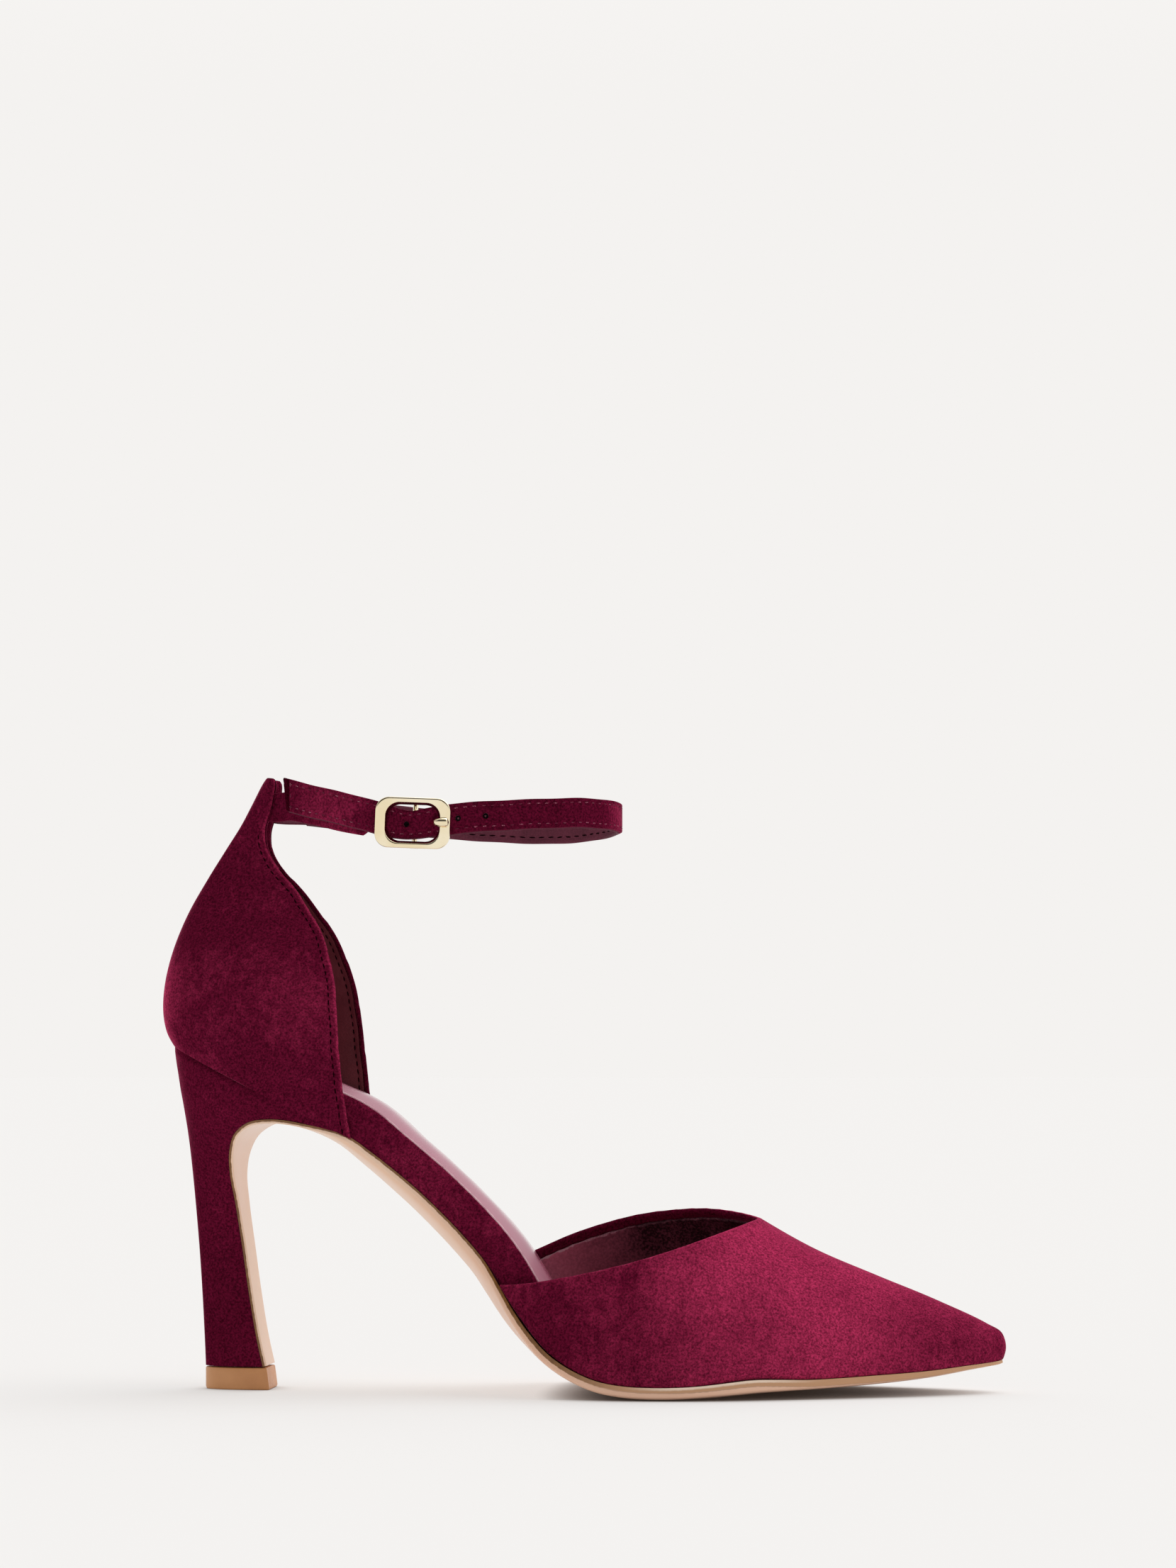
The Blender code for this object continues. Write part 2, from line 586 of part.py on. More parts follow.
def sweep(route, leans, widths, thick, slant=0.0, pieces=2):
    """Return the rings of a flat strap along a route, with its width upright unless it leans inward."""
    route = np.asarray(route, float)
    knots = lengths_along(route)
    line = smooth(knots, np.column_stack([route, leans]))
    places = [knots[i] + (knots[i + 1] - knots[i]) * k / pieces
              for i in range(len(knots) - 1) for k in range(pieces)] + [knots[-1]]
    rings = []
    for at in places:
        ahead = line(min(at + 0.05, knots[-1]))[:3] - line(max(at - 0.05, 0.0))[:3]
        ahead = ahead / np.linalg.norm(ahead)
        outward = np.array([-ahead[1], ahead[0], 0.0])
        outward = outward / np.linalg.norm(outward)
        upward = np.cross(ahead, outward)
        lean = line(at)[3]
        high = math.cos(lean) * upward - math.sin(lean) * outward
        wide = math.cos(lean) * outward + math.sin(lean) * upward
        middle = line(at)[:3]
        width = np.interp(at, knots, widths)
        end = slant if at == knots[-1] else 0.0
        rings.append([middle + high * width / 2 * up + wide * thick / 2 * out + ahead * end * up
                      for up, out in ((-1, -1), (-1, 1), (1, 1), (1, -1))])
    return rings


# Ankle strap: fold round the bar, inner lap, turn in the tab, round the ankle, through the buckle to the tip
fold = [(BUCKLE_X - FOLD_LAP, BAR_Y - 0.75, BUCKLE_Z + 0.9), (BUCKLE_X - 7.0, BAR_Y - 1.0, BUCKLE_Z + 0.4)]
for step in range(7):
    angle = math.radians(-110 + 220 * step / 6)
    fold.append((BUCKLE_X + FOLD_RADIUS * math.cos(angle), BAR_Y + FOLD_RADIUS * math.sin(angle), BUCKLE_Z))
tab_depth = TAB_SKIN + GAP + STRAP_THICK / 2
tab_turn = [counter_point(TAB_LEVEL, turn, tab_depth) for turn in (-1, -0.7, -0.4, 0, 0.4, 0.7, 1)]
tab_leans = [0.0, 0.4 * TAB_LEAN, 0.85 * TAB_LEAN, TAB_LEAN, 0.85 * TAB_LEAN, 0.4 * TAB_LEAN, 0.0]
strap_route = fold + list(STRAP_INNER_LAP) + tab_turn + list(STRAP_ROUND)
strap_leans = ([0.0] * (len(fold) + len(STRAP_INNER_LAP)) + tab_leans + [0.0] * len(STRAP_ROUND))
strap_widths = np.full(len(strap_route), STRAP_WIDTH)
strap_widths[:len(fold) + SHOULDER_ROW] = LOOP_WIDTH
strap_widths[-TIP_ROWS:] = np.linspace(STRAP_WIDTH, TIP_WIDTH, TIP_ROWS)
strap = make_object("ankle_strap", loft(sweep(strap_route, strap_leans, strap_widths, STRAP_THICK, TIP_SLANT)),
                    suede)

# Tunnel through the tab, a little larger than the strap
tab_first = 2 * (len(fold) + len(STRAP_INNER_LAP)) - 3
tab_last = 2 * (len(strap_route) - len(STRAP_ROUND)) + 2
tunnel = make_object("tunnel cutter", loft(sweep(strap_route, strap_leans, strap_widths + 2 * TAB_FIT,
                                                 STRAP_THICK + 2 * TAB_FIT)[tab_first:tab_last]), None)
combine(counter, tunnel, "DIFFERENCE")


def rounded_rectangle(width, height, corner, steps=6):
    """Return the points of a rectangle with round corners, the same number for every size."""
    points = []
    for quarter, (sign_x, sign_z) in enumerate(((1, 1), (-1, 1), (-1, -1), (1, -1))):
        for step in range(steps + 1):
            angle = math.pi / 2 * (quarter + step / steps)
            points.append((sign_x * (width / 2 - corner) + corner * math.cos(angle),
                           sign_z * (height / 2 - corner) + corner * math.sin(angle)))
    return points


def in_buckle(across, depth, up):
    """Return the place of a point given in the tilted plane of the buckle."""
    return (BUCKLE_X + across * math.cos(BUCKLE_TILT) + up * math.sin(BUCKLE_TILT), depth,
            BUCKLE_Z - across * math.sin(BUCKLE_TILT) + up * math.cos(BUCKLE_TILT))


# Buckle frame: a flat ring with a rounded face, and two lugs behind it that hold the bar
outer_loop = rounded_rectangle(BUCKLE_WIDTH, BUCKLE_HEIGHT, BUCKLE_CORNER)
inner_loop = rounded_rectangle(WINDOW_WIDTH, WINDOW_HEIGHT, WINDOW_CORNER)
FRAME_PROFILE = [(0.0, FRAME_REAR), (0.0, FRAME_FRONT + FRAME_EDGE), (0.25, FRAME_FRONT), (0.75, FRAME_FRONT),
                 (1.0, FRAME_FRONT + FRAME_EDGE), (1.0, FRAME_REAR)]
rings = []
for (outer_x, outer_z), (inner_x, inner_z) in zip(outer_loop, inner_loop):
    rings.append([in_buckle(outer_x + (inner_x - outer_x) * share, depth, outer_z + (inner_z - outer_z) * share)
                  for share, depth in FRAME_PROFILE])
frame = make_object("buckle_frame", loft(rings, closed=True), gold)
lug_low = WINDOW_HEIGHT / 2 + 0.1
lug_high = BUCKLE_HEIGHT / 2 - 0.1
for name, sign in (("upper lug", 1), ("lower lug", -1)):
    ends = [[in_buckle(across * LUG_WIDTH / 2, depth, sign * up)
             for across, up in ((-1, lug_low), (1, lug_low), (1, lug_high), (-1, lug_high))]
            for depth in (FRAME_REAR - 0.6, BAR_Y + BAR_RADIUS + GAP)]
    combine(frame, make_object(name, loft(ends), None), "UNION")

# Bar between the lugs
bar_half = lug_low - GAP
rings = [[in_buckle(BAR_RADIUS * math.cos(angle), BAR_Y + BAR_RADIUS * math.sin(angle), up)
          for angle in np.linspace(0, 2 * math.pi, 12, endpoint=False)] for up in (-bar_half, bar_half)]
make_object("buckle_bar", loft(rings), gold)


def tube(route, radius, sides=6, pieces=2):
    """Return the rings of a round rod along a route that stays level."""
    route = np.asarray(route, float)
    knots = lengths_along(route)
    line = smooth(knots, route)
    places = [knots[i] + (knots[i + 1] - knots[i]) * k / pieces
              for i in range(len(knots) - 1) for k in range(pieces)] + [knots[-1]]
    rings = []
    for at in places:
        ahead = line(min(at + 0.02, knots[-1])) - line(max(at - 0.02, 0.0))
        side = np.array([-ahead[1], ahead[0], 0.0])
        side = side / np.linalg.norm(side)
        rings.append([line(at) + radius * (side * math.cos(angle) + np.array([0.0, 0.0, math.sin(angle)]))
                      for angle in np.linspace(0, 2 * math.pi, sides, endpoint=False)])
    return rings


# Prong: hooked round the bar, through the strap and onto the front of the frame
hook = [(BUCKLE_X + HOOK_RADIUS * math.cos(angle), BAR_Y + HOOK_RADIUS * math.sin(angle), BUCKLE_Z)
        for angle in np.radians([20, 65, 110, 155, 200, 245, 285])]
shaft = [(BUCKLE_X + 3.1, BAR_Y - 2.4, BUCKLE_Z), (BUCKLE_X + 5.1, BAR_Y - 4.4, BUCKLE_Z),
         (BUCKLE_X + 7.0, FRAME_FRONT - GAP - PRONG_RADIUS + 0.2, BUCKLE_Z),
         (BUCKLE_X + 9.6, FRAME_FRONT - GAP - PRONG_RADIUS, BUCKLE_Z)]
make_object("buckle_prong", loft(tube(hook + shaft, PRONG_RADIUS)), gold)

# Hole in the strap for the prong, and the slot in its fold that the hook turns in
hole = make_object("prong hole cutter", loft(tube([hook[-1]] + shaft, PRONG_RADIUS + GAP)), None)
combine(strap, hole, "DIFFERENCE")
SLOT_REACH = 3.2
SLOT_SPARE = 0.12
slot_half = PRONG_RADIUS + GAP
slot_ends = [[(BUCKLE_X + across, depth, BUCKLE_Z + up)
              for across, up in ((-SLOT_REACH, -slot_half), (SLOT_REACH, -slot_half), (SLOT_REACH, slot_half),
                                 (-SLOT_REACH, slot_half))]
             for depth in (BAR_Y - FOLD_RADIUS - STRAP_THICK / 2 - SLOT_SPARE, BAR_Y + FOLD_RADIUS + STRAP_THICK)]
slot = make_object("hook slot cutter", loft(slot_ends), None)
combine(strap, slot, "DIFFERENCE")
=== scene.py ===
import math
from collections import namedtuple

import bmesh
import bpy
import numpy as np
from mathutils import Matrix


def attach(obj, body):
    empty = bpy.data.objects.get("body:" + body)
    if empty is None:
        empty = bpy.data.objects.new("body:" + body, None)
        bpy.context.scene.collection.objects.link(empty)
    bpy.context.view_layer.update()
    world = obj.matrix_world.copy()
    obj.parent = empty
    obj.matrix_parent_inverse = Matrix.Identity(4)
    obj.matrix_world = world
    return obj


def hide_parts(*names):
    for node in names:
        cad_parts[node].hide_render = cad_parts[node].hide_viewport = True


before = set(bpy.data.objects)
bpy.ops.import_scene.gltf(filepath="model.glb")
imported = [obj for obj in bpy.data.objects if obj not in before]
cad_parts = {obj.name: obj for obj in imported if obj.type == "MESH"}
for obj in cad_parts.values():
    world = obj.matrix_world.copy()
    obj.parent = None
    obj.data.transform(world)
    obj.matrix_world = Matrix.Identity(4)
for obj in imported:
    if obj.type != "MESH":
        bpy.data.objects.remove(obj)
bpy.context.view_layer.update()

# Insole board
# The stiff moulded board that the shoe is built up from. Between vamp and heel cup its rim is bare, so it is
# wrapped in the same suede as the upper, drawn tight round the edge and glued down under the sock.
MM = 0.001
LENGTH = 236.0
MIDDLE = 0.5018
BALL_WIDTH = 77.0
HEEL_HEIGHT = 96.4
WALL = 1.6
FIT = 0.4
NUDGE = 0.05
CROWN_POWER = 2.5
RIM_ROUND = 1.1
RIM_ROUND_SHARE = 0.2
RIM_RISE = 0.7
RIM_TUCK = 0.3
RIM_STEPS = (0.0, 0.35, 0.65)
BOARD_STATIONS = 120
BOARD_COLUMNS = 13

# Bottom of the last from the toe to the back of the seat, in shares of the sizes above
Last = namedtuple("Last", "along rise outer inner crown board sole upper dip")
CROWN, BOARD, SOLE, UPPER, DIP = range(4, 9)
LAST = [
    Last(0.9970, 0.0985, 0.030, 0.030, 0.0, 2.2, 0.8, 1, 0.0),
    Last(0.9930, 0.097, -0.005, 0.065, 0.1, 2.4, 0.9, 1, 0.0),
    Last(0.9815, 0.094, -0.047, 0.103, 0.2, 2.6, 0.9, 1, 0.0),
    Last(0.9580, 0.089, -0.104, 0.151, 0.4, 3.0, 1.0, 1, 0.0),
    Last(0.9150, 0.078, -0.181, 0.216, 0.7, 3.2, 1.2, 1, 0.0),
    Last(0.8470, 0.068, -0.278, 0.296, 1.0, 3.4, 1.5, 1, 0.0),
    Last(0.7710, 0.060, -0.373, 0.379, 1.3, 3.6, 1.8, 1, 0.0),
    Last(0.7100, 0.062, -0.439, 0.439, 1.6, 3.8, 2.7, 1, 0.0),
    Last(0.6530, 0.047, -0.481, 0.481, 1.8, 4.0, 2.4, 1, 0.0),
    Last(0.5930, 0.042, -0.498, 0.496, 1.9, 4.6, 2.4, 1, 0.0),
    Last(0.5340, 0.058, -0.487, 0.470, 1.5, 5.8, 2.3, 1, 0.9),
    Last(0.4790, 0.127, -0.455, 0.416, 1.8, 6.8, 2.0, 1, 1.9),
    Last(0.4360, 0.249, -0.406, 0.358, 3.6, 7.8, 1.6, 1, 2.2),
    Last(0.3980, 0.387, -0.364, 0.317, 4.3, 8.1, 1.5, 0, 1.8),
    Last(0.3470, 0.524, -0.330, 0.294, 4.2, 8.0, 1.5, 0, 1.5),
    Last(0.2920, 0.645, -0.317, 0.294, 3.7, 8.0, 1.5, 0, 1.1),
    Last(0.2390, 0.741, -0.330, 0.325, 2.6, 8.8, 1.5, 0, 0.7),
    Last(0.1860, 0.799, -0.336, 0.335, 0.0, 8.6, 1.5, 1, 0.3),
    Last(0.1270, 0.867, -0.318, 0.318, 0.0, 7.4, 1.5, 1, 0.0),
    Last(0.0780, 0.926, -0.280, 0.280, 0.0, 6.4, 1.5, 1, 0.0),
    Last(0.0450, 0.964, -0.221, 0.221, 0.0, 5.8, 1.5, 1, 0.0),
    Last(0.0250, 0.989, -0.138, 0.138, 0.0, 5.4, 1.5, 1, 0.0),
    Last(0.0172, 1.000, 0.000, 0.000, 0.0, 5.2, 1.5, 1, 0.0),
]


def curve_through(knots, rows):
    """A smooth curve through the rows of a table; the places asked for may be any array."""
    knots = np.asarray(knots, float)
    rows = np.asarray(rows, float)
    steps = np.diff(knots)[:, None]
    rates = np.diff(rows, axis=0) / steps
    inner = (rates[:-1] * steps[1:] + rates[1:] * steps[:-1]) / (steps[1:] + steps[:-1])
    slopes = np.vstack([1.5 * rates[0] - 0.5 * inner[0], inner, 1.5 * rates[-1] - 0.5 * inner[-1]])

    def curve(at):
        at = np.asarray(at, float)
        i = np.clip(np.searchsorted(knots, at) - 1, 0, len(knots) - 2)
        step = (knots[i + 1] - knots[i])[..., None]
        s = (at - knots[i])[..., None] / step
        return ((1 + 2 * s) * (1 - s) ** 2 * rows[i] + s * (1 - s) ** 2 * step * slopes[i]
                + s * s * (3 - 2 * s) * rows[i + 1] + s * s * (s - 1) * step * slopes[i + 1])

    return curve


def running_length(points):
    """Length along a line of points."""
    return np.concatenate([[0.0], np.cumsum(np.linalg.norm(np.diff(points, axis=0), axis=1))])


def run_of(curve, at, end, nudge=NUDGE):
    """Small step along a curve at each place, kept between its ends."""
    return curve(np.minimum(at + nudge, end)) - curve(np.maximum(at - nudge, 0.0))


def from_back(along):
    """Place on the X axis of a share of the shoe's length."""
    return LENGTH * (along - MIDDLE)


last_rows = np.array([(from_back(r.along), HEEL_HEIGHT * r.rise, BALL_WIDTH * r.outer, BALL_WIDTH * r.inner,
                       r.crown, r.board, r.sole, r.upper, r.dip) for r in LAST])
last_knots = running_length(last_rows[:, :3])
last_line = curve_through(last_knots, last_rows)


def edges_of_last(at, inset):
    """x, z and the outer and inner edge of the last, moved in square to its plan."""
    x, z, outer, inner = np.moveaxis(last_line(at)[..., :4], -1, 0)
    step = run_of(last_line, at, last_knots[-1])
    spread = (step[..., 3] - step[..., 2]) / 2
    size = np.hypot(step[..., 0], spread)
    half = np.maximum((inner - outer) / 2 + inset * step[..., 0] / size, 0.0)
    return x - inset * spread / size, z, (outer + inner) / 2 - half, (outer + inner) / 2 + half


def crown_drop(at, y):
    """Depth of the rounded bottom of the last under its edge."""
    _, _, outer, inner = edges_of_last(at, WALL + FIT)
    share = np.minimum(np.abs(2 * y - outer - inner) / np.maximum(inner - outer, 0.1), 1.0)
    return last_line(at)[..., CROWN] * (1 - share ** CROWN_POWER)


def square_to(curve, at):
    """Direction square to a curve in the side view, on the side of the foot."""
    step = curve(at + NUDGE) - curve(at - NUDGE)
    size = np.hypot(step[..., 0], step[..., 1])
    return step[..., 1] / size, -step[..., 0] / size


def over_line(x, z, normal, y, height):
    """Points at a height over the bottom line."""
    return np.stack(np.broadcast_arrays(x + normal[0] * height, y, z + normal[1] * height), -1)


def evenly(outer, inner, columns):
    """Places at even steps across a piece."""
    return outer + (inner - outer) * np.linspace(0, 1, columns)


def flat_between(side_y, outer, inner, columns):
    """Places across the flat of a piece, between its two rounded sides."""
    return evenly(side_y[:, -1:], outer + inner - side_y[:, -1:], columns)[:, 1:-1]


def both_sides(side, flat, turned_side):
    """Values from one side over the flat to the other side."""
    return np.concatenate([side, flat, turned_side[:, ::-1]], axis=1)


def two_sided(first, second):
    """Rings that go over one sheet of points and come back along the other."""
    return np.concatenate([first, second[:, ::-1]], axis=1)


def body_through(rings):
    """Points and faces of a closed body through rings, each end closed by a strip across its ring."""
    count, size = rings.shape[:2]
    index = np.arange(count * size).reshape(count, size)
    beside = np.roll(index, -1, axis=1)
    faces = np.stack([index[:-1], beside[:-1], beside[1:], index[1:]], -1).reshape(-1, 4).tolist()
    for ring in (index[0], index[-1]):
        for i in range(size // 2 - 1):
            faces.append([ring[i], ring[i + 1], ring[size - 2 - i], ring[size - 1 - i]])
    return rings.reshape(-1, 3), faces


def stand(name, data):
    """An object put into the scene."""
    thing = bpy.data.objects.new(name, data)
    bpy.context.scene.collection.objects.link(thing)
    return thing


def make_piece(name, shape, finish, sharp=45, **marks):
    """A mesh object in metres with its faces turned outward. marks are values kept on its points."""
    points, faces = shape
    mesh = bpy.data.meshes.new(name)
    mesh.from_pydata((points * MM).tolist(), [], faces)
    for mark, values in marks.items():
        layer = mesh.attributes.new(mark, "FLOAT", "POINT")
        layer.data.foreach_set("value", np.asarray(values, np.float32).ravel())
    shell = bmesh.new()
    shell.from_mesh(mesh)
    bmesh.ops.remove_doubles(shell, verts=shell.verts, dist=0.002 * MM)
    bmesh.ops.recalc_face_normals(shell, faces=shell.faces)
    shell.to_mesh(mesh)
    shell.free()
    mesh.shade_smooth()
    mesh.set_sharp_from_angle(angle=math.radians(sharp))
    mesh.materials.append(finish)
    return stand(name, mesh)


def add(tree, kind, inputs, **settings):
    """A node with its settings, and with its inputs set or joined."""
    made = tree.nodes.new(kind)
    for key, value in settings.items():
        setattr(made, key, value)
    for key, value in inputs.items():
        if isinstance(value, bpy.types.NodeSocket):
            tree.links.new(value, made.inputs[key])
        else:
            made.inputs[key].default_value = value
    return made


def part_of(tree, kind, output, inputs, **settings):
    """One output of a new node."""
    return add(tree, kind, inputs, **settings).outputs[output]


def sums(tree, operation, first, second):
    """Result of one sum in a node tree."""
    return part_of(tree, "ShaderNodeMath", 0, {0: first, 1: second}, operation=operation)


def new_finish(name, **sockets):
    """A material with the surface's plain values set; its tree, its surface and the place on the piece."""
    material = bpy.data.materials.new(name)
    material.use_nodes = True
    tree = material.node_tree
    surface = tree.nodes["Principled BSDF"]
    for key, value in sockets.items():
        surface.inputs[key.replace("_", " ")].default_value = value
    return material, tree, surface, part_of(tree, "ShaderNodeTexCoord", "Object", {})


def noise(tree, where, scale, detail, roughness=0.55):
    """Grey noise, 0 to 1 about a half. Scale counts features in a metre."""
    return part_of(tree, "ShaderNodeTexNoise", "Fac", {"Vector": where, "Scale": scale, "Detail": detail,
                                                       "Roughness": roughness})


def remap(tree, value, low, high, to_low, to_high):
    """Value carried from one span to another in a soft step."""
    spans = {"Value": value, "From Min": low, "From Max": high, "To Min": to_low, "To Max": to_high}
    return part_of(tree, "ShaderNodeMapRange", "Result", spans, interpolation_type="SMOOTHSTEP")


def around(tree, grey, middle, swing):
    """Noise spread to either side of a middle value."""
    return remap(tree, grey, 0.3, 0.7, middle - swing, middle + swing)


def marked(tree, mark):
    """Value that a piece keeps on its points."""
    return part_of(tree, "ShaderNodeAttribute", "Fac", {}, attribute_name=mark)


def stretched(tree, place, scale, turn=0.0):
    """Place on a piece, turned about Y by some degrees and stretched."""
    turned = (0.0, math.radians(turn), 0.0)
    return part_of(tree, "ShaderNodeMapping", "Vector", {"Vector": place, "Rotation": turned, "Scale": scale})


def shaded(tree, colour, strength):
    """Colour made lighter or darker by a factor."""
    return part_of(tree, "ShaderNodeVectorMath", "Vector", {"Vector": colour, "Scale": strength},
                   operation="SCALE")


Spot = namedtuple("Spot", "x y z reach lift")
Edge = namedtuple("Edge", "mark start end lift")


def lifted_at(tree, value, place, spots):
    """Value raised or lowered round spots given in mm."""
    for spot in spots:
        middle = tuple(MM * part for part in (spot.x, spot.y, spot.z))
        away = part_of(tree, "ShaderNodeVectorMath", "Value", {0: place, 1: middle}, operation="DISTANCE")
        value = sums(tree, "ADD", value, remap(tree, away, 0.0, spot.reach * MM, spot.lift, 0.0))
    return value


def bumped(tree, height, strength, depth, **below):
    """Normal of a bump of some depth in mm."""
    values = {"Height": height, "Strength": strength, "Distance": depth * MM, **below}
    return part_of(tree, "ShaderNodeBump", "Normal", values)


def dress(tree, surface, colour, normal, rough=None):
    """Surface joined to its colour, its bump and its roughness."""
    tree.links.new(colour, surface.inputs["Base Color"])
    tree.links.new(normal, surface.inputs["Normal"])
    if rough:
        tree.links.new(rough, surface.inputs["Roughness"])


# Ramp of the suede from deep to lit. Each piece takes its own tone on it. The vamp's tone is set highest,
# partly as painted light for its well-lit upward faces.
SUEDE_DEEP = (0.038, 0.0013, 0.0066, 1.0)
SUEDE_BODY = (0.112, 0.0048, 0.0235, 1.0)
SUEDE_LIT = (0.490, 0.0340, 0.1110, 1.0)
SUEDE_SHEEN = (1.0, 0.20, 0.37, 1.0)


def suede(name, tone, nap_and_light, lean, edges=()):
    """Suede of a tone from 0 to 1, its nap leaning by some degrees. The spots given make it lighter or
    darker, from the nap and from painted light, shade and sheen. edges: bands of another tone, by the
    distance in mm that the piece keeps under a mark, such as a painted highlight along a fold or painted
    shade on turned-in suede."""
    material, tree, surface, place = new_finish(name, Sheen_Weight=0.65, Sheen_Roughness=0.22,
                                                Sheen_Tint=SUEDE_SHEEN, Specular_IOR_Level=0.0)
    patches = noise(tree, place, 42.0, 3.0)
    clouds = noise(tree, place, 330.0, 4.0, 0.6)
    strokes = noise(tree, stretched(tree, place, (1.0, 1.0, 0.45), lean), 420.0, 3.0, 0.6)
    fibres = noise(tree, place, 1700.0, 3.0, 0.75)
    value = remap(tree, patches, 0.32, 0.68, tone - 0.05, tone + 0.05)
    value = sums(tree, "ADD", value, around(tree, clouds, 0.0, 0.035))
    value = sums(tree, "ADD", value, around(tree, strokes, 0.0, 0.03))
    value = lifted_at(tree, value, place, nap_and_light)
    for edge in edges:
        band = remap(tree, marked(tree, edge.mark), edge.start, edge.end, edge.lift, 0.0)
        value = sums(tree, "ADD", value, band)
    dye = add(tree, "ShaderNodeValToRGB", {"Fac": value})
    ramp = dye.color_ramp.elements
    ramp[0].position = 0.0
    ramp[0].color = SUEDE_DEEP
    ramp[1].position = 1.0
    ramp[1].color = SUEDE_LIT
    ramp.new(0.5).color = SUEDE_BODY
    nap = bumped(tree, fibres, 0.5, 0.25)
    dress(tree, surface, shaded(tree, dye.outputs["Color"], around(tree, fibres, 1.0, 0.58)),
          bumped(tree, clouds, 0.15, 0.6, Normal=nap), around(tree, clouds, 0.875, 0.075))
    return material


at = np.linspace(last_knots[2], last_knots[-2], BOARD_STATIONS)[:, None]
x, z, outer, inner = edges_of_last(at, WALL + FIT)
height = last_line(at)[..., BOARD] + RIM_RISE
normal = square_to(last_line, at)
bend = np.linspace(0, math.pi / 2, 6)
corner = np.minimum(RIM_ROUND, RIM_ROUND_SHARE * height)
side_y = np.concatenate([np.repeat(outer, len(RIM_STEPS), axis=1),
                         outer + corner * (1 - np.cos(bend))], axis=1)
side_up = np.concatenate([height * np.array(RIM_STEPS) - [RIM_TUCK, 0, 0],
                          height - corner * (1 - np.sin(bend))], axis=1)
flat_y = flat_between(side_y, outer, inner, BOARD_COLUMNS)
top_y = both_sides(side_y, flat_y, outer + inner - side_y)
top_up = both_sides(side_up, height + 0 * flat_y, side_up)
fallen = last_line(at)[..., DIP] / (inner - outer) * (top_y - outer)
top_up = np.maximum(top_up - fallen, np.minimum(top_up, 0.0))
under_y = evenly(outer, inner, top_y.shape[1])
rings = two_sided(over_line(x, z, normal, top_y, top_up),
                  over_line(x, z, normal, under_y, -crown_drop(at, under_y) - RIM_TUCK))
# Two spots darken the rim's outer side, one of them beside the front edge of the heel cup as painted shade.
rim_suede = suede("rim suede", 0.54, [Spot(-55, -20, 66, 26, -0.06), Spot(-20, -25, 33, 22, -0.08)], 40)
board = make_piece("insole_board_rim", body_through(rings), rim_suede)
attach(board, "root")
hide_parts("insole_board")

# Vamp lining
# Smooth plum leather glued inside the vamp. Its top edge butts against the suede that is turned in over the
# topline, where a fine raised seam runs round the throat.
INSTEP_HEIGHT = 48.4
VAMP_SQUARE = 1.12
VAMP_BULGE = 1.3
VAMP_COLUMNS = 120
VAMP_ROWS = 60
VAMP_CROWDING = 1.5
FEATHER_EDGE = 0.4
TURNED_IN = 2.6
SEAM = TURNED_IN + 0.15
EDGE_ROUND = 0.7
LINING_DEPTH = 0.90
FAR = 9.0
PLUM_LIT = (0.740, 0.180, 0.280)
PLUM_SHADE = (0.016, 0.0022, 0.0040)
PLUM_SEAM_HIGHLIGHT = (0.500, 0.250, 0.300)
# Painted light and shade on the throat lining: dark all over, and lit towards the back of the far wall by the
# sock.
THROAT_LIGHT_AND_SHADE = [Spot(0, 0, 40, 500, -0.47), Spot(-30, 32, 28, 54, 0.92)]

# Crest of the vamp over the first rows of the last, and the topline cut on its outer and inner side
Crest = namedtuple("Crest", "along side height")
CREST = [
    Crest(0.9970, 0.030, 0.1962),
    Crest(1.0000, 0.030, 0.252),
    Crest(0.9966, 0.031, 0.331),
    Crest(0.9767, 0.032, 0.398),
    Crest(0.9216, 0.032, 0.523),
    Crest(0.8475, 0.031, 0.671),
    Crest(0.7712, 0.029, 0.831),
    Crest(0.7100, 0.026, 1.000),
    Crest(0.6530, 0.021, 1.178),
    Crest(0.5930, 0.013, 1.374),
    Crest(0.5340, 0.006, 1.570),
    Crest(0.4790, 0.000, 1.746),
    Crest(0.4360, 0.000, 1.870),
    Crest(0.3980, 0.000, 1.963),
]
Topline = namedtuple("Topline", "along height")
OUTER_TOPLINE = [
    Topline(0.373, 0.645),
    Topline(0.420, 0.638),
    Topline(0.450, 0.651),
    Topline(0.489, 0.684),
    Topline(0.536, 0.731),
    Topline(0.581, 0.787),
    Topline(0.629, 0.860),
    Topline(0.672, 0.934),
    Topline(0.710, 1.000),
    Topline(0.746, 1.064),
]
INNER_TOPLINE = [
    Topline(0.373, 0.661),
    Topline(0.407, 0.727),
    Topline(0.436, 0.791),
    Topline(0.477, 0.880),
    Topline(0.519, 0.950),
    Topline(0.560, 1.002),
    Topline(0.603, 1.033),
    Topline(0.647, 1.045),
    Topline(0.687, 1.025),
    Topline(0.710, 1.000),
    Topline(0.746, 0.946),
]
crest_knots = last_knots[:len(CREST)]
crest_line = curve_through(crest_knots, [(from_back(r.along), BALL_WIDTH * r.side, INSTEP_HEIGHT * r.height)
                                         for r in CREST])
toplines = [curve_through([from_back(r.along) for r in table], [[INSTEP_HEIGHT * r.height] for r in table])
            for table in (OUTER_TOPLINE, INNER_TOPLINE)]


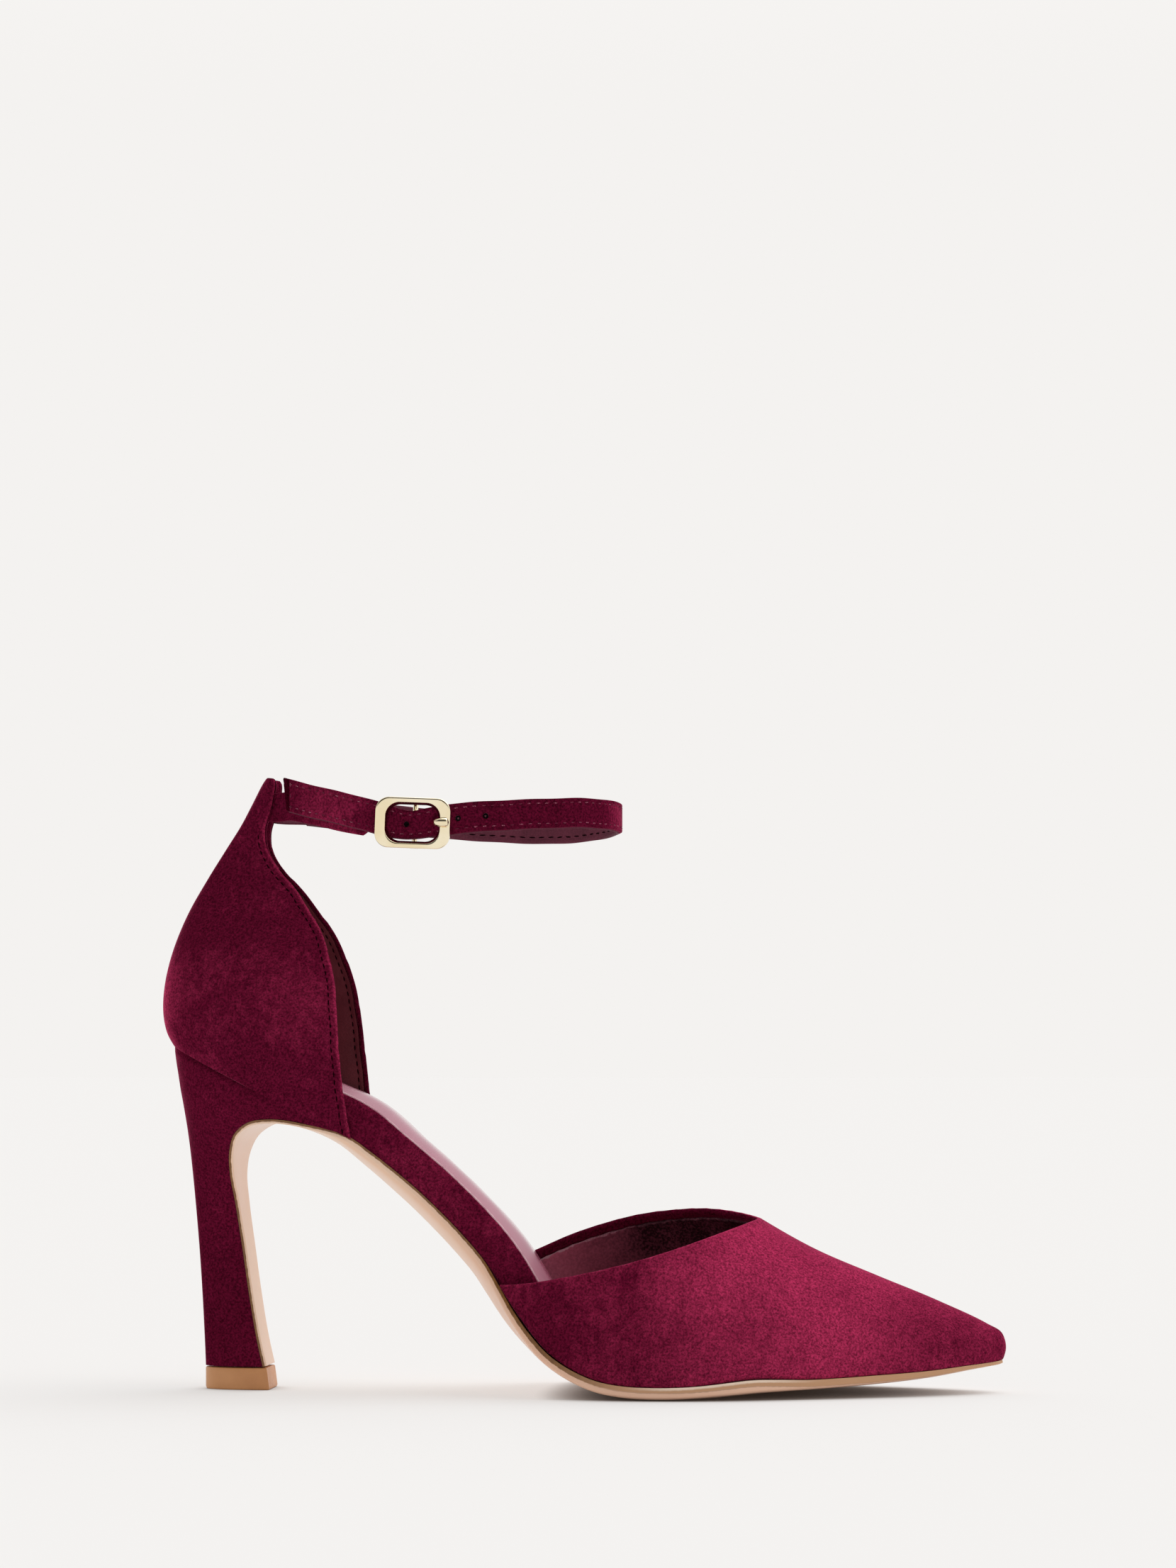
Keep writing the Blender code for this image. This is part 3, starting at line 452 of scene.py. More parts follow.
def vamp_surface(at, turn, inset):
    """Points of the vamp: turn goes from -1 at the outer feather over the crest to 1 at the inner one."""
    at, turn, inset = np.broadcast_arrays(np.asarray(at, float), turn, inset)
    x, z, outer, inner = edges_of_last(at, inset)
    step = run_of(crest_line, at, crest_knots[-1])
    size = np.hypot(step[..., 0], step[..., 2])
    top = crest_line(at)
    top_x = top[..., 0] - inset * step[..., 2] / size
    top_z = top[..., 2] + inset * step[..., 0] / size
    side = np.where(turn < 0, outer, inner)
    lift = (1 - np.abs(turn)) * math.pi / 2
    bulge = VAMP_BULGE * (side - top[..., 1]) / (BALL_WIDTH / 2) * np.sin(2 * lift) * np.cos(lift) ** 2
    reach = np.maximum(np.cos(lift), 0.0) ** VAMP_SQUARE
    return np.stack([x + (top_x - x) * np.sin(lift), top[..., 1] + (side - top[..., 1]) * reach + bulge,
                     z + (top_z - z) * np.sin(lift)], -1)


def topline_at(turn):
    """Where the topline crosses the lines of the vamp that run back from the toe."""
    front = np.full(turn.shape, crest_knots[4])
    rear = np.full(turn.shape, crest_knots[-1])
    for _ in range(40):
        middle = (front + rear) / 2
        point = vamp_surface(middle, turn, 0.0)
        outer_level, inner_level = (line(point[..., 0])[..., 0] for line in toplines)
        short = point[..., 2] < np.where(turn <= 0, outer_level, inner_level)
        front = np.where(short, middle, front)
        rear = np.where(short, rear, middle)
    return (front + rear) / 2


def places_short_of(edge, points, at, distances):
    """Places on each line of points at given distances short of an edge. Lines start at the edge."""
    short = np.linalg.norm(points[:, :, None] - edge, axis=-1).min(-1)
    short = np.maximum.accumulate(short - short[0], axis=0)
    return np.array([[np.interp(d, short[:, c], at[:, c]) for c in range(at.shape[1])] for d in distances])


vamp_turns = np.linspace(-1, 1, VAMP_COLUMNS + 1)
dense_turns = np.linspace(-1, 1, 401)
topline = vamp_surface(topline_at(dense_turns), dense_turns, 0.0)
search = topline_at(vamp_turns) - np.linspace(0, 26, 53)[:, None]
search_points = vamp_surface(search, vamp_turns, 0.0)


def along_vamp(inside, edge, back):
    """Values down each line of the vamp: from the toe to the edge, over the edge, and back to the toe."""
    return np.concatenate([np.full(VAMP_ROWS, inside), edge, np.full(VAMP_ROWS, back)])


def vamp_rings(inside, profile, back):
    """Rings along each line of the vamp, over an edge profile of (distance, inset) and back to the toe."""
    near = places_short_of(topline, search_points, search, [d for d, _ in profile])
    share = (np.arange(VAMP_ROWS) / VAMP_ROWS)[:, None] ** VAMP_CROWDING
    places = np.concatenate([share * near[0], near, share[::-1] * near[-1]])
    turns = np.concatenate([[-1.0], vamp_turns, [1.0]])
    places = np.concatenate([places[:, :1], places, places[:, -1:]], axis=1)
    depths = np.tile(along_vamp(inside, [inset for _, inset in profile], back)[:, None], (1, len(turns)))
    middle = (inside + back) / 2
    depths[:, [0, -1]] = middle + (depths[:, [0, -1]] - middle) * FEATHER_EDGE
    points = vamp_surface(places, turns, depths)
    points[:, [0, -1], 2] -= RIM_TUCK
    return points.transpose(1, 0, 2)


def mixed(tree, share, first, second):
    """Colour between two colours, each plain or joined."""
    ends = {key: (*colour, 1.0) if isinstance(colour, tuple) else colour
            for key, colour in (("A", first), ("B", second))}
    return part_of(tree, "ShaderNodeMix", "Result", {"Factor": share, **ends}, data_type="RGBA")


def leather(name, light, dark, scale, rough, bump, gloss, coat=0.0, mottle=0.3, painted_light_and_shade=(), edge=None,
            polish=None):
    """Smooth leather with a fine pebble. The spots given make it lighter or darker, as painted light and
    shade.
    edge: a mark with the distance from an edge in mm, that edge's width and its paler colour. polish: how
    much rougher the leather gets between two distances kept under a mark."""
    material, tree, surface, place = new_finish(name, Specular_IOR_Level=gloss, Coat_Weight=coat,
                                                Coat_Roughness=0.25)
    pebbles = part_of(tree, "ShaderNodeTexVoronoi", "Distance",
                      {"Vector": place, "Scale": scale, "Randomness": 1.0}, feature="SMOOTH_F1")
    clouds = noise(tree, place, 120.0, 4.0)
    fine = noise(tree, place, scale * 1.7, 2.0)
    shade = sums(tree, "ADD", around(tree, clouds, 0.5, mottle), around(tree, fine, 0.0, 0.08))
    # Spots of painted light and shade.
    shade = lifted_at(tree, shade, place, painted_light_and_shade)
    colour = mixed(tree, shade, dark, light)
    if edge:
        mark, width, pale = edge
        flecks = remap(tree, noise(tree, place, 420.0, 3.0), 0.35, 0.65, -0.6 * width, 0.6 * width)
        cut_edge_and_highlight = remap(tree, sums(tree, "ADD", marked(tree, mark), flecks), 0.6 * width, 1.2 * width, 1.0, 0.0)
        # The pale edge is dimmed where the shade is low. On the throat lining it is a painted highlight along
        # the seam; on the sock it is the cut edge's own colour.
        cut_edge_and_highlight = sums(tree, "MULTIPLY", cut_edge_and_highlight, remap(tree, shade, 0.0, 0.6, 0.1, 1.0))
        colour = mixed(tree, cut_edge_and_highlight, colour, pale)
    rubbed_rough = around(tree, clouds, 1.025 * rough, 0.175 * rough)
    if polish:
        rougher = remap(tree, marked(tree, polish.mark), polish.start, polish.end, 0.0, polish.lift)
        rubbed_rough = sums(tree, "ADD", rubbed_rough, rougher)
    dress(tree, surface, colour, bumped(tree, sums(tree, "ADD", pebbles, fine), bump, 0.12), rubbed_rough)
    return material


def on_rings(rings, values):
    """The same values on each of the rings."""
    return np.tile(values, (len(rings), 1))


throat_plum = leather("plum throat lining", PLUM_LIT, PLUM_SHADE, scale=900.0, rough=0.40, bump=0.7,
                      gloss=0.12, mottle=0.05, painted_light_and_shade=THROAT_LIGHT_AND_SHADE, edge=("from_seam", 0.5, PLUM_SEAM_HIGHLIGHT))
lining_edge = [(SEAM + 0.5, LINING_DEPTH), (SEAM + 0.1, 1.0), (SEAM, 1.3), (SEAM + 0.1, 1.65),
               (SEAM + 0.45, 1.75), (SEAM + 0.9, 1.70), (SEAM + 1.8, WALL)]
rings = vamp_rings(LINING_DEPTH, lining_edge, WALL)
from_seam = along_vamp(FAR, [d - SEAM for d, _ in lining_edge], FAR)
vamp_lining = make_piece("vamp_lining", body_through(rings), throat_plum,
                         from_seam=on_rings(rings, from_seam))
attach(vamp_lining, "root")

# Vamp
# The pointed front of the upper: one piece of suede pulled over the last, folded over a tape at the topline
# and turned in, with its lower edge lasted under the board and cemented to the sole.
VAMP_MIDDLE = (0.0, 0.0, 12.0)
VAMP_SKIN = 0.8
# Spots of nap tone and of painted light and shade: lighter high on the front of the outer side, darker
# towards the rear, low down over the sole and at the toe.
VAMP_NAP_AND_LIGHT = [
    Spot(60, -20, 28, 54, 0.20),
    Spot(86, -4, 30, 24, 0.05),
    Spot(27, -28, 33, 13, 0.06),
    Spot(15, -33, 30, 13, -0.07),
    Spot(73, -12, 25, 10, -0.08),
    Spot(50, -31, 9, 26, -0.08),
    Spot(27, -36, 14, 20, -0.07),
    Spot(-6, -34, 16, 44, -0.17),
    Spot(98, -9, 15, 13, -0.05),
    Spot(116, 2, 8, 12, -0.05),
]
Swell = namedtuple("Swell", "x y z along across height lean")
SWELLS = [
    Swell(48.0, -27.0, 8.4, 15.0, 1.8, 0.85, 3.0),
    Swell(50.0, -27.0, 5.2, 15.0, 1.1, -0.75, 3.0),
    Swell(20.0, -35.0, 22.0, 16.0, 7.0, 0.30, -14.0),
    Swell(84.0, -10.0, 22.0, 12.0, 5.0, -0.22, 24.0),
    Swell(46.0, 28.0, 9.0, 16.0, 2.2, 0.35, -2.0),
    Swell(12.0, 34.0, 24.0, 14.0, 6.0, -0.28, 12.0),
]


def swell(points, middle, rows):
    """Soft ridges and troughs, each raised away from the middle of the shoe."""
    for row in rows:
        lean = math.radians(row.lean)
        away = points - np.array([row.x, row.y, row.z])
        along = (away[..., 0] * math.cos(lean) + away[..., 2] * math.sin(lean)) / row.along
        across = (away[..., 2] * math.cos(lean) - away[..., 0] * math.sin(lean)) / row.across
        same_side = np.clip(points[..., 1] * np.sign(row.y) / 6.0, 0.0, 1.0)
        push = row.height * np.exp(-along ** 2 - across ** 2) * same_side
        out = points - np.array(middle)
        out[..., 0] = 0.0
        points = points + out / np.linalg.norm(out, axis=-1, keepdims=True) * push[..., None]
    return points


def rolled_edge(start, end, steps):
    """Profile of (distance, inset) round a folded edge, between two angles."""
    angles = np.linspace(start, end, steps)
    return [(EDGE_ROUND * (1 - math.sin(a)), WALL / 2 * (1 - math.cos(a))) for a in angles]


fold_edge = [(3.4, 0.0), (2.6, 0.0), (1.9, 0.0), (1.3, 0.0), (0.95, 0.0)] + rolled_edge(0, math.pi, 10)
fold_edge += [(1.1, WALL), (1.8, WALL), (2.4, WALL), (TURNED_IN - 0.05, WALL - 0.1), (TURNED_IN, WALL - 0.4),
              (TURNED_IN, VAMP_SKIN)]
rings = swell(vamp_rings(0.0, fold_edge, VAMP_SKIN), VAMP_MIDDLE, SWELLS)
# The suede is lighter just over the folded topline, a painted highlight, and darker where it is turned in, as
# painted shade inside the shoe.
vamp_suede = suede("vamp suede", 0.66, VAMP_NAP_AND_LIGHT, 24,
                   [Edge("from_fold", 0.2, 0.8, 0.08), Edge("turned_in", 0.0, 1.0, -0.34)])
from_fold = along_vamp(FAR, [d for d, _ in fold_edge], FAR)
turned_in = along_vamp(1.0, [inset < 0.3 * WALL for _, inset in fold_edge], 0.0)
vamp = make_piece("vamp_upper", body_through(rings), vamp_suede, from_fold=on_rings(rings, from_fold),
                  turned_in=on_rings(rings, turned_in))
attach(vamp, "root")
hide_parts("vamp")

# Heel cup lining
# The same plum leather inside the heel cup. It stops short of the front edge, where the suede is turned in.
CUFF_HEIGHT = 171.0
SEAT_WIDTH = 52.0
CUP_ROWS = 96
CUP_INTERIOR = 44
BINDING = 1.15
LINING_SKIN = 0.88
LINING_TOP = 7.4

# Levels of the heel cup from the seat to the top of the tab, in shares of the sizes
Level = namedtuple("Level", "back_along back_rise edge_along edge_rise half square wall")
LEVELS = [
    Level(0.0170, 0.564, 0.2415, 0.413, 0.500, 2.8, WALL),
    Level(0.0078, 0.590, 0.2362, 0.459, 0.515, 2.8, WALL),
    Level(0.0040, 0.628, 0.2308, 0.517, 0.522, 2.7, WALL),
    Level(0.0072, 0.676, 0.2258, 0.591, 0.490, 2.6, WALL),
    Level(0.0168, 0.727, 0.2195, 0.664, 0.404, 2.5, WALL),
    Level(0.0332, 0.782, 0.2018, 0.740, 0.283, 2.4, WALL),
    Level(0.0557, 0.837, 0.1695, 0.809, 0.170, 2.3, WALL),
    Level(0.0784, 0.887, 0.1355, 0.866, 0.110, 2.2, 1.9),
    Level(0.0948, 0.922, 0.1272, 0.909, 0.118, 2.2, 4.0),
    Level(0.1075, 0.954, 0.1356, 0.951, 0.133, 2.2, 4.4),
    Level(0.1200, 0.987, 0.1398, 0.986, 0.130, 2.2, 3.2),
    Level(0.1266, 1.000, 0.1375, 0.998, 0.110, 2.2, 1.2),
]
TOP_LEVEL = len(LEVELS) - 1
level_line = curve_through(range(len(LEVELS)), [(from_back(r.back_along), CUFF_HEIGHT * r.back_rise,
                                                 from_back(r.edge_along), CUFF_HEIGHT * r.edge_rise,
                                                 SEAT_WIDTH * r.half, r.square, r.wall) for r in LEVELS])


def cup_surface(level, turn, inset):
    """Points of the heel cup: turn goes from -1 at the outer front edge round the back to 1."""
    level, turn, inset = np.broadcast_arrays(np.asarray(level, float), turn, inset)
    back_x, back_z, edge_x, edge_z, half, square, _ = np.moveaxis(level_line(level), -1, 0)
    swing = (1 - np.abs(turn)) * math.pi / 2
    reach = np.maximum(np.sin(swing), 0.0) ** (2 / square)
    side = np.maximum(np.cos(swing), 0.0) ** (2 / square)
    return np.stack([edge_x - (edge_x - back_x - inset) * reach, np.sign(turn) * (half - inset) * side,
                     edge_z + (back_z - edge_z) * reach], -1)


cup_levels = np.concatenate([np.linspace(0, TOP_LEVEL - 0.15, CUP_ROWS), [TOP_LEVEL - 0.05, TOP_LEVEL]])
front_edge = cup_surface(np.linspace(0, TOP_LEVEL, 301), 1.0, 0.0)
cup_search = np.repeat((1 - np.linspace(0, 1, 181) ** 2)[:, None], len(cup_levels), axis=1)
cup_points = cup_surface(cup_levels, cup_search, 0.0)
full_wall = np.full(len(cup_levels), WALL)


def cup_sheet(profile, middle_inset, thick):
    """Points across each level from one front edge to the other, over a profile of (distance, inset)."""
    near = places_short_of(front_edge, cup_points, cup_search, [d for d, _ in profile]).T
    inner_turn = near[:, -1:] * np.linspace(-1, 1, CUP_INTERIOR + 2)[1:-1]
    turns = np.concatenate([-near, inner_turn, near[:, ::-1]], axis=1)
    edge = np.array([inset for _, inset in profile])
    depths = np.concatenate([edge, np.full(CUP_INTERIOR, middle_inset), edge[::-1]])
    depths = np.minimum(depths * np.ones((len(cup_levels), 1)), WALL) * thick[:, None] / WALL
    return cup_surface(cup_levels[:, None], turns, depths)


lining_outside = [(BINDING + 0.2, 1.3), (BINDING + 0.3, 0.9), (BINDING + 0.6, LINING_SKIN),
                  (2.3, LINING_SKIN), (2.7, LINING_SKIN), (3.1, LINING_SKIN)]
lining_inside = [(BINDING + 0.2, 1.3), (BINDING + 0.3, 1.55), (BINDING + 0.7, WALL), (2.3, WALL),
                 (2.7, WALL - 0.12), (3.1, WALL)]
rings = two_sided(cup_sheet(lining_outside, LINING_SKIN, full_wall),
                  cup_sheet(lining_inside, WALL, full_wall))
heel_plum = leather("plum heel lining", (0.160, 0.0290, 0.0400), (0.095, 0.0150, 0.0215), scale=1100.0,
                    rough=0.5, bump=0.30, gloss=0.15)
cup_lining = make_piece("heel_cup_lining", body_through(rings[cup_levels < LINING_TOP]), heel_plum)
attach(cup_lining, "root")

# Heel cup
# Suede quarter moulded round the heel, its front edge closed by folding the suede in and stitching it down.
# At the back it runs up into a narrow tab, which is folded over the strap and sewn down inside.
TAB_SKIN = 1.0
TAB_FACING = 0.55
CUP_SKIN = 0.8
TUCK_OUTSIDE = 0.5
TUCK_INSIDE = 0.7
TUCK_DROP = 0.28
TUCK_END = -96.0
TUCK_FADE = 14.0
TUCK_EASE = (1, 0.995, 1)
# Spots of nap tone, and painted sheen down the lower back edge from the two strongest.
CUP_NAP_AND_SHEEN = [
    Spot(-80, -24, 116, 34, 0.09),
    Spot(-112, -8, 106, 26, 0.07),
    Spot(-62, -25, 86, 26, 0.03),
    Spot(-120, -3, 111, 22, 0.40),
    Spot(-117, -3, 99, 18, 0.25),
]
skin = np.interp(cup_levels, [6.6, 7.6, TOP_LEVEL - 0.15, TOP_LEVEL], [WALL, TAB_SKIN, TAB_SKIN, 0.5])
outside_edge = rolled_edge(math.pi / 2, 0, 6)
outside_edge += [(1.1, 0.0), (1.55, 0.05), (1.9, 0.16), (2.25, 0.05), (2.8, 0.0), (3.6, 0.0)]
inside_edge = rolled_edge(math.pi / 2, math.pi, 6)
inside_edge += [(BINDING - 0.25, WALL), (BINDING - 0.1, WALL - 0.05), (BINDING, 1.2), (BINDING + 0.05, 0.8)]
cup_outside = cup_sheet(outside_edge, 0.0, skin)
cup_inside = cup_sheet(inside_edge, CUP_SKIN, skin)
tuck = two_sided(cup_sheet(outside_edge, TUCK_OUTSIDE, full_wall)[:1],
                 cup_sheet(inside_edge, TUCK_INSIDE, full_wall)[:1])
flush = two_sided(cup_outside[:1] * TUCK_EASE, cup_inside[:1])
tuck = tuck + (flush - tuck) * np.clip((tuck[..., :1] - TUCK_END) / TUCK_FADE, 0.0, 1.0)
tuck[..., 2] -= TUCK_DROP
rings = np.concatenate([tuck, two_sided(cup_outside, cup_inside)])
# A painted highlight along the folded front edge on the outside, and painted shade on the turned-in suede
# inside.
cup_suede = suede("heel cup suede", 0.48, CUP_NAP_AND_SHEEN, -28,
                  [Edge("from_fold", 0.1, 0.9, 0.15), Edge("turned_in", 0.0, 1.0, -0.22)])
across_outside = [d for d, _ in outside_edge] + [FAR] * CUP_INTERIOR + [d for d, _ in outside_edge[::-1]]
across_inside = np.zeros(rings.shape[1] - len(across_outside))
from_fold = np.concatenate([across_outside, across_inside + FAR])
turned_in = np.concatenate([np.ones(len(across_outside)), across_inside])
heel_cup = make_piece("heel_cup", body_through(rings), cup_suede, from_fold=on_rings(rings, from_fold),
                      turned_in=on_rings(rings, turned_in))
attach(heel_cup, "root")
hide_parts("counter")

facing_levels = np.linspace(6.7, TOP_LEVEL - 0.12, 40)[:, None]
facing_turns = np.linspace(-1, 1, 25)
wall = np.maximum(level_line(facing_levels)[..., 6], WALL + TAB_FACING)
wall = np.minimum(wall, np.interp(facing_levels, [TOP_LEVEL - 1, TOP_LEVEL], [3.2, 1.0]))
rings = two_sided(cup_surface(facing_levels, facing_turns, wall - TAB_FACING),
                  cup_surface(facing_levels, facing_turns, wall))
# The facing counts as turned-in suede and so takes its painted shade.
tab_facing = make_piece("tab_facing", body_through(rings), cup_suede, from_fold=np.full(rings.shape[:2], FAR),
                        turned_in=np.ones(rings.shape[:2]))
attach(tab_facing, "root")

# Stitching of the heel cup
# A row of dark thread sewn along the front edge of the heel cup through the turned-in suede, on both sides.
THREAD_PITCH = 2.25
THREAD_LENGTH = 1.60
THREAD_WIDTH = 0.40
STITCH_SLEW = 0.10
STITCH_SEED = 7
OUTSIDE_ROW = (1.9, 0.0, 0.14)
INSIDE_ROW = (2.7, WALL, WALL - 0.08)


def new_group(name, result, **given):
    """A geometry tree with named inputs and one result, and what its inputs give."""
    tree = bpy.data.node_groups.new(name, "GeometryNodeTree")
    tree.interface.new_socket(result, in_out="OUTPUT", socket_type="NodeSocketGeometry")
    for label, kind in given.items():
        tree.interface.new_socket(label, in_out="INPUT", socket_type="NodeSocket" + kind)
    return tree, tree.nodes.new("NodeGroupInput").outputs


def stitch_tree():
    """Geometry nodes that lay one stitch at each pitch along a line, flat on the surface that it follows."""
    tree, given = new_group("row of stitches", "Stitches", Line="Geometry", Pitch="Float", Length="Float",
                            Width="Float", Thread="Material")
    line = part_of(tree, "GeometryNodeMeshToCurve", "Curve", {"Mesh": given["Line"]})
    spaced = part_of(tree, "GeometryNodeResampleCurve", "Curve", {"Curve": line, "Length": given["Pitch"]},
                     mode="LENGTH")
    bead = part_of(tree, "GeometryNodeMeshUVSphere", "Mesh", {"Segments": 8, "Rings": 6, "Radius": 0.5})
    size = part_of(tree, "ShaderNodeCombineXYZ", "Vector", {"X": given["Length"], "Y": given["Width"],
                                                            "Z": given["Width"]})
    bead = part_of(tree, "GeometryNodeTransform", "Geometry", {"Geometry": bead, "Scale": size})
    ahead = part_of(tree, "GeometryNodeInputTangent", "Tangent", {})
    upward = part_of(tree, "GeometryNodeInputNamedAttribute", "Attribute", {"Name": "outward"},
                     data_type="FLOAT_VECTOR")
    slew = part_of(tree, "FunctionNodeRandomValue", "Value",
                   {"Min": (-STITCH_SLEW,) * 3, "Max": (STITCH_SLEW,) * 3, "Seed": STITCH_SEED},
                   data_type="FLOAT_VECTOR")
    ahead = part_of(tree, "ShaderNodeVectorMath", 0, {0: ahead, 1: slew}, operation="ADD")
    turned = part_of(tree, "FunctionNodeAlignRotationToVector", "Rotation", {"Vector": ahead}, axis="X")
    turned = part_of(tree, "FunctionNodeAlignRotationToVector", "Rotation",
                     {"Rotation": turned, "Vector": upward}, axis="Z", pivot_axis="X")
    laid = part_of(tree, "GeometryNodeInstanceOnPoints", "Instances", {"Points": spaced, "Instance": bead,
                                                                       "Rotation": turned})
    whole = part_of(tree, "GeometryNodeRealizeInstances", "Geometry", {"Geometry": laid})
    dyed = part_of(tree, "GeometryNodeSetMaterial", "Geometry",
                   {"Geometry": whole, "Material": given["Thread"]})
    smooth = part_of(tree, "GeometryNodeSetShadeSmooth", "Geometry", {"Geometry": dyed})
    add(tree, "NodeGroupOutput", {"Stitches": smooth})
    return tree


stitches_along = stitch_tree()


def worked(piece, group, values):
    """Replaces a piece's mesh by the plain mesh that a geometry tree makes of it."""
    step = piece.modifiers.new(group.name, "NODES")
    step.node_group = group
    for socket in group.interface.items_tree:
        if socket.in_out == "INPUT" and socket.name in values:
            step[socket.identifier] = values[socket.name]
    made = bpy.data.meshes.new_from_object(piece.evaluated_get(bpy.context.evaluated_depsgraph_get()))
    piece.modifiers.remove(step)
    before = piece.data
    piece.data = made
    bpy.data.meshes.remove(before)
    made.name = piece.name


def guide(name, lines):
    """An object of bare lines of (points, outward directions), with the directions kept on the points."""
    mesh = bpy.data.meshes.new(name + " line")
    edges = []
    start = 0
    for points, _ in lines:
        edges += [(start + i, start + i + 1) for i in range(len(points) - 1)]
        start += len(points)
    mesh.from_pydata((np.concatenate([points for points, _ in lines]) * MM).tolist(), edges, [])
    layer = mesh.attributes.new("outward", "FLOAT_VECTOR", "POINT")
    layer.data.foreach_set("vector", np.concatenate([out for _, out in lines]).astype(np.float32).ravel())
    return stand(name, mesh)


def sew(name, lines, thread, pitch, length, width):
    """Stitches along lines of (points, outward directions), as one plain mesh."""
    row = guide(name, lines)
    worked(row, stitches_along, {"Pitch": pitch * MM, "Length": length * MM, "Width": width * MM,
                                 "Thread": thread})
    return row


def thread_finish(name, light, dark):
    """Twisted thread, in places sunk into the nap and so darker."""
    material, tree, surface, place = new_finish(name, Roughness=0.8, Specular_IOR_Level=0.0)
    twist = part_of(tree, "ShaderNodeTexWave", "Fac", {"Vector": place, "Scale": 900.0, "Distortion": 2.0},
                    bands_direction="DIAGONAL")
    sunk = remap(tree, noise(tree, place, 260.0, 2.0), 0.38, 0.60, 0.0, 1.0)
    dress(tree, surface, mixed(tree, sums(tree, "MULTIPLY", twist, sunk), dark, light),
          bumped(tree, twist, 0.4, 0.08))
    return material


dark_thread = thread_finish("dark thread", (0.014, 0.0014, 0.0040), (0.006, 0.0006, 0.0018))
sewn_levels = (cup_levels > 0.05) & (cup_levels < 7.8)
rows = []
for side in (-1, 1):
    for from_edge, inset, depth in (OUTSIDE_ROW, INSIDE_ROW):
        turn = side * places_short_of(front_edge, cup_points, cup_search, [from_edge])[0, sewn_levels]
        line = cup_surface(cup_levels[sewn_levels], turn, depth)
        out = (cup_surface(cup_levels[sewn_levels], turn, inset - 1.0)
               - cup_surface(cup_levels[sewn_levels], turn, inset))
        rows.append((line, out / np.linalg.norm(out, axis=1, keepdims=True)))
cup_stitches = sew("heel_cup_stitches", rows, dark_thread, THREAD_PITCH, THREAD_LENGTH, THREAD_WIDTH)
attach(cup_stitches, "root")

# Outsole and breast flap
# A thin nude sole, smooth and lightly polished. The top of its edge is painted brown at the waist and golden
# tan at the toe, with a fine line between two tiers at the ball. Behind, it runs down the heel as a flap.
SOLE_GAP = 0.4
SOLE_SWELL = 0.8
SOLE_LEDGE = 0.4
SOLE_TAPER = 40.0
SOLE_TOE_WIDTH = 0.8
SOLE_STATIONS = 220
SOLE_COLUMNS = 19
CROWN_FADE = 20.0
FLAP_THICK = 1.1
WAIST_END = 16
WAIST_NUDE = (0.840, 0.600, 0.440)
TOE_NUDE = (0.835, 0.500, 0.345)
DARK_BROWN = (0.165, 0.060, 0.007)
LIGHT_BROWN = (0.230, 0.095, 0.014)
TAN_EDGE = (0.560, 0.300, 0.150)
CREAM_HIGHLIGHT = (0.900, 0.720, 0.560)

# Stretches of the sole in metres forward, over which one look passes into the next
WAIST_TO_TOE = (-0.055, -0.010)
PAINT_WIDENS = (-0.036, 0.004)
PAINT_TO_TOE = (0.004, 0.080)
BROWN_TO_TAN = (-0.006, 0.020)
HIGHLIGHT_STARTS = (0.012, 0.030)
HIGHLIGHT_ENDS = (0.050, 0.070)
LINE_STARTS = (0.000, 0.016)

# The sole's edge from its top to the flat of the bottom: way inward in mm, share of the edge and of the swell
SOLE_EDGE = [(0.0, 0.0, 0.0), (0.0, 0.40, 0.0), (0.0, 0.84, 0.0), (0.04, 0.95, 0.05), (0.14, 1.0, 0.15),
             (0.32, 1.0, 0.32), (0.60, 1.0, 0.55), (1.1, 1.0, 0.82), (1.9, 1.0, 1.0)]

# Sections of the heel from the lip under the waist to the top piece; their fronts also lead the flap
Heel = namedtuple("Heel", "back_along back_rise front_along front_rise half square")
HEEL = [
    Heel(0.0180, 0.982, 0.1870, 0.772, 0.492, 2.5),
    Heel(0.0195, 0.950, 0.1650, 0.782, 0.478, 2.4),
    Heel(0.0220, 0.913, 0.1410, 0.785, 0.452, 2.4),
    Heel(0.0246, 0.871, 0.1175, 0.775, 0.412, 2.4),
    Heel(0.0280, 0.820, 0.0998, 0.742, 0.356, 2.3),
    Heel(0.0318, 0.757, 0.0913, 0.691, 0.285, 2.3),
    Heel(0.0355, 0.674, 0.0895, 0.626, 0.216, 2.2),
    Heel(0.0400, 0.555, 0.0937, 0.546, 0.168, 2.2),
    Heel(0.0447, 0.415, 0.1015, 0.415, 0.148, 2.2),
    Heel(0.0486, 0.270, 0.1099, 0.270, 0.142, 2.2),
    Heel(0.0512, 0.145, 0.1186, 0.145, 0.140, 2.2),
    Heel(0.0525, 0.068, 0.1256, 0.068, 0.140, 2.2),
]
heel_rows = np.array([(from_back(r.back_along), HEEL_HEIGHT * r.back_rise, from_back(r.front_along),
                       HEEL_HEIGHT * r.front_rise, SEAT_WIDTH * r.half, r.square) for r in HEEL])
waist_knots = last_knots[:WAIST_END + 1]
sole_rows = []
for knot in sorted(list(waist_knots) + list((waist_knots[1:] + waist_knots[:-1]) / 2)):
    taper = min(knot / SOLE_TAPER, 1.0)
    bare = np.interp(knot, last_knots, 1 - last_rows[:, UPPER])
    x, z, outer, inner = edges_of_last(knot, (WALL + FIT) * bare - SOLE_LEDGE * (2 * taper - 1))
    normal = square_to(last_line, max(knot, 0.1))
    sole_rows.append((x - normal[0] * SOLE_GAP, z - normal[1] * SOLE_GAP, min(outer, inner - SOLE_TOE_WIDTH),
                      inner, last_line(knot)[SOLE], SOLE_SWELL * taper, knot))
waist_rows = len(sole_rows)
